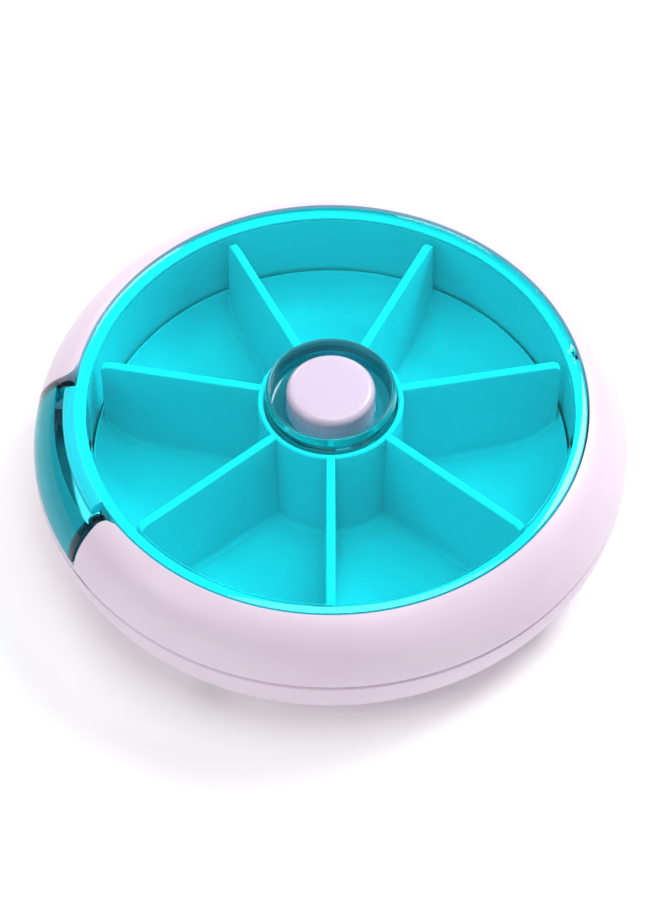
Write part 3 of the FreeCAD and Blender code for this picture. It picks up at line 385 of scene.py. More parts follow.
class Wardrobe:
    """Builds each finish once and puts it on pieces."""

    def __init__(self) -> None:
        """Start with no material built."""
        self.built: dict[Finish, bpy.types.Material] = {}

    def material(self, finish: Finish) -> bpy.types.Material:
        """Return the material of a finish, built on first use."""
        if finish not in self.built:
            self.built[finish] = finish.value.build()
        return self.built[finish]

    def dress(self, piece: bpy.types.Object, finish: Finish) -> None:
        """Put one finish on a whole piece.

        Args:
            piece: a new piece or a CAD node.
            finish: the finish.
        """
        if not piece.material_slots:
            piece.data.materials.append(self.material(finish))
        for slot in piece.material_slots:
            slot.material = self.material(finish)


# ---------------------------------------------------------------- mesh tools


def polar(radius: float, angle: float, height: float) -> Vector:
    """Return a point in metres from a radius, an angle and a height."""
    turn = math.radians(angle)
    return Vector((radius * math.cos(turn), radius * math.sin(turn), height)) * MM


def arc_points(centre: Point, radius: float, start: float, end: float, steps: int) -> list[Point]:
    """Points along an arc of an outline.

    Args:
        centre: radius and height of the arc's centre.
        radius: the arc's radius.
        start: first angle.
        end: last angle.
        steps: number of equal steps.

    Returns:
        steps + 1 points.
    """
    turns = [math.radians(start + (end - start) * k / steps) for k in range(steps + 1)]
    return [(centre[0] + radius * math.cos(t), centre[1] + radius * math.sin(t)) for t in turns]


def spin_outline(bm: bmesh.types.BMesh, outline: Sequence[Point], start: float,
                 sweeps: Sequence[tuple[float, int]]) -> tuple[list, list]:
    """Turn a closed outline about the Z axis, in one or more sweeps with steps of their own.

    Args:
        bm: the mesh that receives the solid.
        outline: radius and height of each corner.
        start: angle at which the outline stands first.
        sweeps: angle and number of steps of each sweep.

    Returns:
        The corners of the first and of the last outline. They are merged where the sweeps make a full turn.
    """
    first = [bm.verts.new(polar(r, start, z)) for r, z in outline]
    edges = [bm.edges.new((a, b)) for a, b in zip(first, first[1:] + first[:1])]
    geom: list = first + edges
    last = first
    for sweep, steps in sweeps:
        out = bmesh.ops.spin(bm, geom=geom, cent=(0, 0, 0), axis=(0, 0, 1), dvec=(0, 0, 0),
                             angle=math.radians(sweep), steps=steps, use_merge=False, use_normal_flip=False,
                             use_duplicate=False)
        geom = out["geom_last"]
        last = [g for g in geom if isinstance(g, bmesh.types.BMVert)]
    if abs(sum(sweep for sweep, _ in sweeps) - FULL_TURN) < CLOSE:
        bmesh.ops.remove_doubles(bm, verts=first + last, dist=MERGE)
        return [], []
    return first, last


def cap(bm: bmesh.types.BMesh, corners: Sequence[bmesh.types.BMVert]) -> None:
    """Close an open end with one face over its corners."""
    edges = [e for e in {e for v in corners for e in v.link_edges} if e.is_boundary and
             all(v in set(corners) for v in e.verts)]
    bmesh.ops.edgeloop_fill(bm, edges=edges)


def reshape(bm: bmesh.types.BMesh, rule: Callable[[float, float, float], tuple[float, float, float]]) -> None:
    """Move every corner by a rule in round coordinates.

    Args:
        bm: the mesh.
        rule: takes radius, angle from the door's side and height, and returns the new three.
    """
    for vert in bm.verts:
        radius = math.hypot(vert.co.x, vert.co.y) / MM
        angle = math.degrees(math.atan2(vert.co.y, vert.co.x)) - DOOR_SIDE
        angle = (angle + FULL_TURN / 2) % FULL_TURN - FULL_TURN / 2
        r, a, z = rule(radius, angle, vert.co.z / MM)
        vert.co = polar(r, a + DOOR_SIDE, z)


def finish_piece(name: str, bm: bmesh.types.BMesh, round_mm: float = 0.0, segments: int = 2,
                 sharp: float = 32.0) -> bpy.types.Object:
    """Turn a bmesh into a piece with outward faces, smooth shading and rounded edges.

    Args:
        name: the piece's name.
        bm: the mesh, which is freed.
        round_mm: width of the edge rounding, or 0 for none.
        segments: segments of the rounding.
        sharp: angle above which an edge stays crisp or is rounded.

    Returns:
        The piece.
    """
    bmesh.ops.dissolve_degenerate(bm, dist=MERGE / 10, edges=bm.edges[:])
    bmesh.ops.recalc_face_normals(bm, faces=bm.faces[:])
    mesh = bpy.data.meshes.new(name)
    bm.to_mesh(mesh)
    bm.free()
    mesh.shade_smooth()
    piece = bpy.data.objects.new(name, mesh)
    bpy.context.scene.collection.objects.link(piece)
    if round_mm:
        bevel = piece.modifiers.new("edge_rounding", "BEVEL")
        bevel.width = round_mm * MM
        bevel.segments = segments
        bevel.limit_method = "ANGLE"
        bevel.angle_limit = math.radians(sharp)
        bevel.use_clamp_overlap = True
        bevel.harden_normals = True
    else:
        mesh.set_sharp_from_angle(angle=math.radians(sharp))
    return piece


def settle(piece: bpy.types.Object, body: Body, node: str) -> None:
    """Tie a piece to its body, hide the CAD node it stands for, and report it.

    Args:
        piece: the new piece.
        body: the body it rides on.
        node: the CAD node it replaces.
    """
    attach(piece, body.value)
    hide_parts(node)
    LOG.info("%s rides on %s", piece.name, body.value)


# ---------------------------------------------------------------- sub-assemblies


@dataclass
class RingLine:
    """The curve that the outer ring, the lid's tongue and the door share, read from the frame."""

    seam_gap: float = 0.25
    lid_gap: float = 0.25
    radius: float = field(init=False)
    foot_z: float = field(init=False)
    top_z: float = field(init=False)
    bore_r: float = field(init=False)
    arc_r: float = field(init=False)
    arc_centre_r: float = field(init=False)

    def __post_init__(self) -> None:
        """Work the arc out from the boxes of the ring and the lid."""
        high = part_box("outer_ring")[1]
        self.radius = high[0] / MM
        self.top_z = high[2] / MM
        self.foot_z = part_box("base_shell")[1][2] / MM + self.seam_gap
        self.bore_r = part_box("lid")[1][0] / MM + self.lid_gap
        inset = self.radius - self.bore_r
        rise = self.top_z - self.foot_z
        self.arc_r = (inset ** 2 + rise ** 2) / (2.0 * inset)
        self.arc_centre_r = self.radius - self.arc_r

    def height(self, radius: float, wall: float = 0.0) -> float:
        """Return the height of the arc at a radius, one wall further in if asked."""
        return self.foot_z + math.sqrt((self.arc_r - wall) ** 2 - (radius - self.arc_centre_r) ** 2)

    def point(self, angle: float, wall: float = 0.0) -> Point:
        """Return the arc's point at an angle above the seam."""
        turn = math.radians(angle)
        reach = self.arc_r - wall
        return (self.arc_centre_r + reach * math.cos(turn), self.foot_z + reach * math.sin(turn))

    def angle_at(self, radius: float, wall: float = 0.0) -> float:
        """Return the angle above the seam at which the arc has a radius."""
        return math.degrees(math.acos((radius - self.arc_centre_r) / (self.arc_r - wall)))


@dataclass
class OuterRing:
    """The pale upper ring: a curved shell with solid ends beside the door and a thin sill under it."""

    line: RingLine
    wall: float = 1.8
    gap_half: float = 20.2
    block: float = 5.0
    corner_r: float = 2.3
    lip_drop: float = 2.1
    lip_in: float = 1.2
    sill_h: float = 0.9
    seam_round: float = 0.25
    foot_deg: float = 1.4
    foot_in: float = 0.15
    sill_over: float = 1.0
    sill_round: float = 0.12
    edge_round: float = 0.22
    slices: int = 18
    sill_slices: int = 4
    turn_steps: int = 220
    block_steps: int = 10
    sill_steps: int = 30

    def end_angle(self, radius: float) -> float:
        """Return the angle of the ring's end face at a radius, with its rounded inner corner."""
        centre_r = self.line.bore_r + self.corner_r
        side = math.degrees(math.asin(self.corner_r / centre_r))
        if radius >= math.sqrt(centre_r ** 2 - self.corner_r ** 2):
            return self.gap_half
        cosine = (radius ** 2 + centre_r ** 2 - self.corner_r ** 2) / (2 * radius * centre_r)
        return self.gap_half + side - math.degrees(math.acos(min(1.0, cosine)))

    def outline(self) -> tuple[list[Point], list[Point]]:
        """Return the outside and the inside of the ring's section, each from the seam up to the bore."""
        line = self.line
        top = line.angle_at(line.bore_r)
        outer = [(line.radius - self.seam_round, line.foot_z)]
        outer += [line.point(self.foot_deg + (top - self.foot_deg) * k / self.slices)
                  for k in range(self.slices + 1)]
        lip_z = line.top_z - self.lip_drop
        inner_top = math.degrees(math.asin((lip_z - line.foot_z) / (line.arc_r - self.wall)))
        inner = [line.point(inner_top * k / (self.slices - 1), self.wall) for k in range(self.slices)]
        inner += [(line.bore_r + self.lip_in, lip_z), (line.bore_r, lip_z)]
        return outer, inner

    def build(self) -> bpy.types.Object:
        """Build the ring's mesh and return the piece."""
        bm = bmesh.new()
        outer, inner = self.outline()
        loop = outer + inner[::-1]
        open_deg = FULL_TURN - 2 * (self.gap_half + self.block)
        start = DOOR_SIDE + self.gap_half
        block = (self.block, self.block_steps)
        first, last = spin_outline(bm, loop, start, [block, (open_deg, self.turn_steps), block])
        count = len(outer)
        for column_angle, verts in self.columns(bm, loop):
            beyond = abs(column_angle) - self.gap_half
            if beyond > self.block - CLOSE:
                continue
            share = beyond / self.block
            sign = 1.0 if column_angle > 0 else -1.0
            for k, vert in enumerate(verts):
                if k < count:
                    r, z = outer[k]
                else:
                    r, z = outer[2 * count - 1 - k][0], self.line.foot_z
                    if k == 2 * count - 1:
                        r -= self.foot_in
                face = self.end_angle(r)
                vert.co = polar(r, DOOR_SIDE + sign * (face + (self.gap_half + self.block - face) * share), z)
        for corners in (first, last):
            for low, high, low_in, high_in in self.slices_of(corners, count):
                bm.faces.new((low, high, high_in, low_in))
        return finish_piece("ring_outer", bm, self.edge_round, 3)

    @staticmethod
    def columns(bm: bmesh.types.BMesh, loop: Sequence[Point]) -> list[tuple[float, list]]:
        """Group the corners of the spun mesh into its outlines, in the order of the loop.

        Args:
            bm: the spun mesh.
            loop: the outline that was spun.

        Returns:
            The angle from the door's side and the corners of each outline.
        """
        bm.verts.ensure_lookup_table()
        size = len(loop)
        groups = []
        for k in range(0, len(bm.verts), size):
            verts = [bm.verts[k + i] for i in range(size)]
            angle = math.degrees(math.atan2(verts[0].co.y, verts[0].co.x)) - DOOR_SIDE
            groups.append(((angle + FULL_TURN / 2) % FULL_TURN - FULL_TURN / 2, verts))
        return groups

    @staticmethod
    def slices_of(corners: Sequence[bmesh.types.BMVert], count: int) -> list[tuple]:
        """Pair the outside and inside corners of an end into upright slices."""
        outer = corners[:count]
        inner = corners[count:][::-1]
        return [(outer[k], outer[k + 1], inner[k], inner[k + 1]) for k in range(count - 1)]

    def build_sill(self) -> bpy.types.Object:
        """Build the thin band of the ring that runs under the door and return the piece."""
        line = self.line
        bm = bmesh.new()
        top = math.degrees(math.asin(self.sill_h / line.arc_r))
        inside = line.radius - self.wall
        outline = [(line.radius - self.seam_round, line.foot_z)]
        outline += [line.point(self.foot_deg + (top - self.foot_deg) * k / self.sill_slices)
                    for k in range(self.sill_slices + 1)]
        outline += [(inside, line.foot_z + self.sill_h), (inside, line.foot_z)]
        half = self.gap_half + self.sill_over
        first, last = spin_outline(bm, outline, DOOR_SIDE - half, [(2 * half, self.sill_steps)])
        cap(bm, first)
        cap(bm, last)
        return finish_piece("ring_door_sill", bm, self.sill_round, 2)


@dataclass
class Lid:
    """The clear lid: a domed disc with a tongue over the door, and a well with a bead round the button."""

    line: RingLine
    dome: float = 1.2
    thick: float = 1.4
    dome_end: float = 0.6
    bevel: float = 0.55
    bevel_share: float = 0.3
    edge_land: float = 0.3
    foot_round: float = 0.25
    foot_in: float = 0.2
    foot_land: float = 0.35
    seat_drop: float = 1.5
    seat_in_r: float = 36.2
    well_r: float = 9.1
    well_wall: float = 0.7
    well_floor_z: float = 20.8
    well_floor: float = 1.0
    well_fillet: float = 0.5
    well_soft: float = 0.15
    guide_r: float = 6.73
    bead_w: float = 0.75
    bead_h: float = 1.5
    bead_round: float = 0.3
    bead_from_deg: float = 165.0
    bead_to_deg: float = 15.0
    bead_draft: float = 0.1
    skirt_in_r: float = 7.9
    skirt_out_r: float = 8.9
    key_half_deg: float = 8.2
    key_gap: float = 0.02
    tongue_r: float = 40.1
    tongue_half: float = 16.6
    tongue_lip: float = 0.6
    tongue_run: float = 0.7
    tongue_round: float = 0.3
    tongue_drop: float = 0.35
    notch_half: float = 1.05
    notch_depth: float = 0.7
    step_deg: float = 0.25
    bead_steps: int = 8
    dome_steps: int = 26
    under_steps: int = 20
    tongue_steps: int = 18
    quarter_steps: int = 30
    key_steps: int = 6
    back_steps: int = 36
    notch_steps: int = 2

    def top(self, radius: float) -> float:
        """Return the height of the dome at a radius."""
        return self.line.top_z + self.dome * (1.0 - (radius / self.edge_r) ** 2)

    @property
    def edge_r(self) -> float:
        """Radius of the lid's edge."""
        return self.line.bore_r - self.line.lid_gap

    def rim(self) -> list[Point]:
        """Return the corners round the lid's edge, from the dome down to the seat."""
        edge, top, bevel = self.edge_r, self.line.top_z, self.bevel
        seat = top - self.seat_drop
        soft = bevel * self.bevel_share
        return [(edge - bevel, top), (edge - soft, top - soft), (edge, top - bevel),
                (edge, top - bevel - self.edge_land), (edge, seat + self.foot_round),
                (edge - self.foot_in, seat), (edge - self.foot_land, seat)]

    def tongue_rim(self) -> list[Point]:
        """Return the same corners where the lid runs out into its tongue."""
        line = self.line
        seat = line.top_z - self.seat_drop
        lip = seat - self.tongue_lip
        tip = self.tongue_r
        radii = (line.bore_r, line.bore_r + self.tongue_run, tip - self.tongue_round)
        tops = [(r, line.height(r)) for r in radii]
        root = line.bore_r - self.foot_in
        return tops + [(tip, line.height(tip) - self.tongue_drop), (tip, lip), (root, lip), (root, seat)]

    def outline(self) -> list[Point]:
        """Return the lid's section, as a closed run of corners."""
        foot = self.well_floor_z - self.well_floor
        skirt_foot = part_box("lid")[0][2] / MM
        bead_z = self.top(self.well_r) + self.bead_h
        bead_out = self.well_r + self.bead_w
        under_in = self.well_r + self.well_wall
        floor, soft, bead = self.well_floor_z, self.well_soft, self.bead_round
        points = [(self.guide_r, foot), (self.guide_r, floor - soft), (self.guide_r + soft, floor),
                  (self.well_r - self.well_fillet, floor), (self.well_r - soft, floor + soft),
                  (self.well_r, floor + self.well_fillet), (self.well_r, bead_z - bead)]
        points += arc_points((self.well_r + bead, bead_z - bead), bead, self.bead_from_deg, self.bead_to_deg,
                             self.bead_steps)
        points += [(bead_out - self.bead_draft, self.top(bead_out) + bead)]
        dome = self.edge_r - self.bevel - self.dome_end - bead_out
        radii = [bead_out + dome * k / self.dome_steps for k in range(self.dome_steps + 1)]
        points += [(r, self.top(r)) for r in radii]
        points += self.rim()
        points += [(self.seat_in_r, self.line.top_z - self.seat_drop)]
        under = under_in - self.seat_in_r
        radii = [self.seat_in_r + under * k / self.under_steps for k in range(self.under_steps + 1)]
        points += [(r, self.top(r) - self.thick) for r in radii]
        points += [(under_in, foot), (self.skirt_out_r, foot), (self.skirt_out_r, skirt_foot),
                   (self.skirt_in_r, skirt_foot), (self.skirt_in_r, foot)]
        return points

    def build(self) -> bpy.types.Object:
        """Build the lid's mesh and return the piece."""
        bm = bmesh.new()
        step, key, notch = self.step_deg, self.key_half_deg, self.notch_half
        quarter = FULL_TURN / 4 - self.tongue_half - key - 2 * step
        back = FULL_TURN / 4 - key - notch - 2 * step
        half_turn = [(step, 1), (quarter, self.quarter_steps), (step, 1), (2 * key, self.key_steps),
                     (step, 1), (back, self.back_steps), (step, 1)]
        sweeps = [(2 * self.tongue_half, self.tongue_steps)] + half_turn
        sweeps += [(2 * notch, self.notch_steps)] + half_turn[::-1]
        outline = self.outline()
        spin_outline(bm, outline, DOOR_SIDE - self.tongue_half, sweeps)
        rim, tongue = self.rim(), self.tongue_rim()
        skirt_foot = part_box("lid")[0][2] / MM
        foot = self.well_floor_z - self.well_floor

        def rule(radius: float, angle: float, height: float) -> tuple[float, float, float]:
            """Turn rim corners into the tongue and the notch, and skirt corners into the keyways."""
            for (r, z), (r_new, z_new) in zip(rim, tongue):
                if abs(radius - r) < CLOSE and abs(height - z) < CLOSE:
                    if abs(angle) < self.tongue_half + CLOSE:
                        return r_new, angle, z_new
                    if abs(angle) > FULL_TURN / 2 - self.notch_half - CLOSE:
                        return r - self.notch_depth, angle, z
            if height < skirt_foot + CLOSE and abs(abs(angle) - FULL_TURN / 4) < key + CLOSE:
                return radius, angle, foot - self.key_gap
            return radius, angle, height

        reshape(bm, rule)
        return finish_piece("lid_clear", bm, 0.0, sharp=38.0)


@dataclass
class PillTray:
    """The turning tray: a scooped floor, a hub, and seven tapered dividers with filleted roots."""

    radius: float = 36.2
    floor: float = 1.2
    post_r: float = 8.58
    collar_wall: float = 0.8
    collar_h: float = 8.0
    hub_in_r: float = 10.1
    hub_wall: float = 0.8
    hub_soft: float = 0.2
    scoop_r: float = 8.5
    scoop_limit: float = 0.999
    rim_z: float = 9.0
    rim_in: float = 0.3
    rim_rise: float = 0.02
    rim_soft: float = 0.1
    divider_r: float = 35.5
    top_half: float = 0.65
    root_half: float = 0.85
    root_fillet: float = 0.9
    rim_drop: float = 1.25
    end_run: float = 1.0
    end_drop: float = 0.63
    foot_sink: float = 0.4
    crown_soft: float = 0.28
    first_deg: float = 90.0
    turn_steps: int = 240
    scoop_steps: int = 16
    under_steps: int = 12
    fillet_steps: int = 5
    crown_steps: int = 4
    stations: int = 30
    base_z: float = field(init=False)
    top_z: float = field(init=False)
    floor_z: float = field(init=False)
    scoop_start: float = field(init=False)

    def __post_init__(self) -> None:
        """Read the tray's heights from the frame."""
        low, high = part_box("pill_tray")
        self.base_z = low[2] / MM
        self.top_z = high[2] / MM
        self.floor_z = self.base_z + self.floor
        rise = self.rim_z - self.floor_z
        self.scoop_start = self.radius - self.rim_in - math.sqrt(2 * self.scoop_r * rise - rise ** 2)

    def floor_height(self, radius: float) -> float:
        """Return the height of the compartment floor at a radius."""
        if radius <= self.scoop_start:
            return self.floor_z
        run = min(radius - self.scoop_start, self.scoop_r * self.scoop_limit)
        return self.floor_z + self.scoop_r - math.sqrt(self.scoop_r ** 2 - run ** 2)

    def bowl(self) -> list[Point]:
        """Return the section of the floor, collar, hub wall and scooped rim."""
        hub_out = self.hub_in_r + self.hub_wall
        collar_out = self.post_r + self.collar_wall
        centre = (self.scoop_start, self.floor_z + self.scoop_r)
        rise = self.rim_z - self.floor_z
        end = math.degrees(math.acos((self.scoop_r - rise) / self.scoop_r)) - 90.0
        under = self.scoop_r + self.floor
        under_end = math.degrees(math.asin((self.radius - self.scoop_start) / under)) - 90.0
        soft = self.hub_soft
        points = [(self.post_r, self.base_z), (self.post_r, self.base_z + self.collar_h),
                  (collar_out, self.base_z + self.collar_h), (collar_out, self.floor_z),
                  (self.hub_in_r, self.floor_z), (self.hub_in_r, self.top_z - soft),
                  (self.hub_in_r + soft, self.top_z), (hub_out - soft, self.top_z),
                  (hub_out, self.top_z - soft)]
        points += arc_points((hub_out + self.root_fillet, self.floor_z + self.root_fillet), self.root_fillet,
                             180.0, 270.0, self.fillet_steps)
        points += arc_points(centre, self.scoop_r, -90.0, end, self.scoop_steps)
        points += [(self.radius - self.rim_soft, self.rim_z + self.rim_rise),
                   (self.radius, self.rim_z - self.rim_soft)]
        points += arc_points(centre, under, under_end, -90.0, self.under_steps)
        return points

    def divider(self, bm: bmesh.types.BMesh) -> None:
        """Add one divider on the +X axis: a tapered section carried from the hub to the rim."""
        inner = self.hub_in_r + self.hub_wall * 0.5
        radii = [inner + (self.divider_r - inner) * k / self.stations for k in range(self.stations + 1)]
        previous = None
        first = None
        for radius in radii:
            share = (radius - inner) / (self.divider_r - inner)
            top = self.top_z - self.rim_drop * share
            ease = max(0.0, radius - (self.divider_r - self.end_run))
            top -= self.end_drop * ease ** 2
            loop = self.section(self.floor_height(radius), top)
            if previous is None:
                verts = [bm.verts.new(Vector((radius, t, z)) * MM) for t, z in loop]
                edges = [bm.edges.new((a, b)) for a, b in zip(verts, verts[1:] + verts[:1])]
                first = verts
            else:
                out = bmesh.ops.extrude_edge_only(bm, edges=previous[1])["geom"]
                fresh = {g for g in out if isinstance(g, bmesh.types.BMVert)}
                verts = [next(e.other_vert(v) for e in v.link_edges if e.other_vert(v) in fresh)
                         for v in previous[0]]
                for vert, (t, z) in zip(verts, loop):
                    vert.co = Vector((radius, t, z)) * MM
                edges = [next(e for e in a.link_edges if e.other_vert(a) is b)
                         for a, b in zip(verts, verts[1:] + verts[:1])]
            previous = (verts, edges)
        bm.faces.new(first)
        bm.faces.new(previous[0])

    def section(self, floor: float, top: float) -> list[Point]:
        """Return a divider's section across its width, from the buried foot up over the rounded top."""
        fillet = self.root_fillet
        sink = floor - self.foot_sink
        soft = self.crown_soft
        side = arc_points((self.root_half + fillet, floor + fillet), fillet, 270.0, 180.0, self.fillet_steps)
        crown = arc_points((self.top_half - soft, top - soft), soft, 0.0, 90.0, self.crown_steps)
        right = [(self.root_half + fillet, sink)] + side + crown
        return right + [(-t, z) for t, z in right[::-1]]

    def build(self) -> bpy.types.Object:
        """Build the tray's mesh and return the piece."""
        bm = bmesh.new()
        spin_outline(bm, self.bowl(), 0.0, [(FULL_TURN, self.turn_steps)])
        leaf = bmesh.new()
        self.divider(leaf)
        bmesh.ops.recalc_face_normals(leaf, faces=leaf.faces[:])
        bmesh.ops.rotate(leaf, cent=(0, 0, 0), matrix=Matrix.Rotation(math.radians(self.first_deg), 3, "Z"),
                         verts=leaf.verts[:])
        bmesh.ops.spin(leaf, geom=leaf.verts[:] + leaf.edges[:] + leaf.faces[:], cent=(0, 0, 0),
                       axis=(0, 0, 1), dvec=(0, 0, 0), angle=math.radians(FULL_TURN - PITCH),
                       steps=COMPARTMENTS - 1, use_merge=False, use_normal_flip=False, use_duplicate=True)
        mesh = bpy.data.meshes.new("divider_set")
        leaf.to_mesh(mesh)
        leaf.free()
        bm.from_mesh(mesh)
        bpy.data.meshes.remove(mesh)
        return finish_piece("tray_seven_day", bm, 0.0, sharp=40.0)


@dataclass
class PushButton:
    """The push button: a softly domed cap, the flange that keeps it in, and its keys, stem and drive lugs."""

    cap_r: float = 6.65
    cap_round: float = 1.15
    cap_top_deg: float = 86.0
    crown: float = 0.18
    wall: float = 1.2
    flange_out: float = 1.1
    flange_top_z: float = 19.7
    flange_h: float = 1.1
    stem_r: float = 3.5
    bore_r: float = 2.6
    under_z: float = 24.0
    under_soft: float = 0.4
    key_half: float = 1.0
    key_r: float = 8.8
    lug_r: float = 0.6
    lug_start: float = 0.3
    lug_reach: float = 4.5
    lug_above: float = 1.4
    turn_steps: int = 96
    crown_steps: int = 8
    cap_steps: int = 9
    lug_sides: int = 24

    def outline(self) -> list[Point]:
        """Return the button's section, from the middle of its top round to the bore of its stem."""
        low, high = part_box("push_button")
        top, end = high[2] / MM, low[2] / MM
        foot = self.flange_top_z - self.flange_h
        shoulder = self.cap_r - self.cap_round
        shares = [k / self.crown_steps for k in range(self.crown_steps)]
        soft = self.under_soft
        points = [(shoulder * share, top - self.crown * share ** 2) for share in shares]
        points += arc_points((shoulder, top - self.crown - self.cap_round), self.cap_round,
                             self.cap_top_deg, 0.0, self.cap_steps)
        points += [(self.cap_r, self.flange_top_z), (self.cap_r + self.flange_out, self.flange_top_z),
                   (self.cap_r + self.flange_out, foot), (self.cap_r - self.wall, foot),
                   (self.cap_r - self.wall, self.under_z - soft),
                   (self.cap_r - self.wall - soft, self.under_z), (self.stem_r + soft, self.under_z),
                   (self.stem_r, self.under_z - soft), (self.stem_r, end),
                   (self.bore_r, end), (self.bore_r, self.under_z), (0.0, self.under_z)]
        return points

    def build(self) -> bpy.types.Object:
        """Build the button's mesh and return the piece."""
        bm = bmesh.new()
        spin_outline(bm, self.outline(), 0.0, [(FULL_TURN, self.turn_steps)])
        bmesh.ops.remove_doubles(bm, verts=bm.verts[:], dist=10 * MERGE)
        foot = self.flange_top_z - self.flange_h
        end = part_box("push_button")[0][2] / MM
        inside = self.cap_r + self.flange_out / 2
        start = self.bore_r + self.lug_start
        sideways = Matrix.Rotation(math.radians(90.0), 3, "Y")
        for sign in (1, -1):
            key = bmesh.ops.create_cube(bm, size=1.0)["verts"]
            size = Vector((self.key_r - inside, 2 * self.key_half, self.flange_h)) * MM
            place = Vector((sign * (self.key_r + inside) / 2, 0, foot + self.flange_h / 2)) * MM
            bmesh.ops.scale(bm, vec=size, verts=key)
            bmesh.ops.translate(bm, vec=place, verts=key)
            lug = bmesh.ops.create_cone(bm, cap_ends=True, segments=self.lug_sides, radius1=self.lug_r * MM,
                                        radius2=self.lug_r * MM, depth=(self.lug_reach - start) * MM)["verts"]
            place = Vector((sign * (self.lug_reach + start) / 2, 0, end + self.lug_above)) * MM
            bmesh.ops.rotate(bm, cent=(0, 0, 0), matrix=sideways, verts=lug)
            bmesh.ops.translate(bm, vec=place, verts=lug)
        return finish_piece("button_push", bm, 0.0, sharp=40.0)


@dataclass
class ReturnSpring:
    """The spring under the button: a coil with closed ends, built at one length, though the real spring
    shortens as the button goes down.
    """

    wire_r: float = 0.18
    turns: int = 9
    steps: int = 30
    sides: int = 10
    closed_gap: float = 0.01

    def build(self) -> bpy.types.Object:
        """Build the coil's mesh in the box of its CAD node and return the piece."""
        low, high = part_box("button_spring")
        wire = self.wire_r * MM
        closed = 2 * wire + self.closed_gap * MM
        rise = high[2] - low[2] - 2 * wire
        bm = bmesh.new()
        place = Matrix.Translation((high[0] - wire, 0, low[2] + wire))
        upright = place @ Matrix.Rotation(math.radians(90.0), 4, "X")
        first = bmesh.ops.create_circle(bm, cap_ends=False, segments=self.sides, radius=wire,
                                        matrix=upright)["verts"]
        geom = first + bm.edges[:]
        for turns, lift in ((1, closed), (self.turns - 2, rise - 2 * closed), (1, closed)):
            steps = turns * self.steps
            geom = bmesh.ops.spin(bm, geom=geom, cent=(0, 0, 0), axis=(0, 0, 1), dvec=(0, 0, lift / steps),
                                  angle=math.radians(FULL_TURN * turns), steps=steps, use_merge=False,
                                  use_normal_flip=False, use_duplicate=False)["geom_last"]
        cap(bm, first)
        cap(bm, [g for g in geom if isinstance(g, bmesh.types.BMVert)])
        return finish_piece("spring_return", bm, 0.0, sharp=50.0)

    @staticmethod
    def fit(piece: bpy.types.Object) -> None:
        """Bake the coil's place into its mesh, hide its CAD node, and report it.

        Args:
            piece: the coil.
        """
        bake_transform(piece)
        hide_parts("button_spring")
        LOG.info("%s shortens between %s and %s", piece.name, Body.HOUSING.value, Body.BUTTON.value)


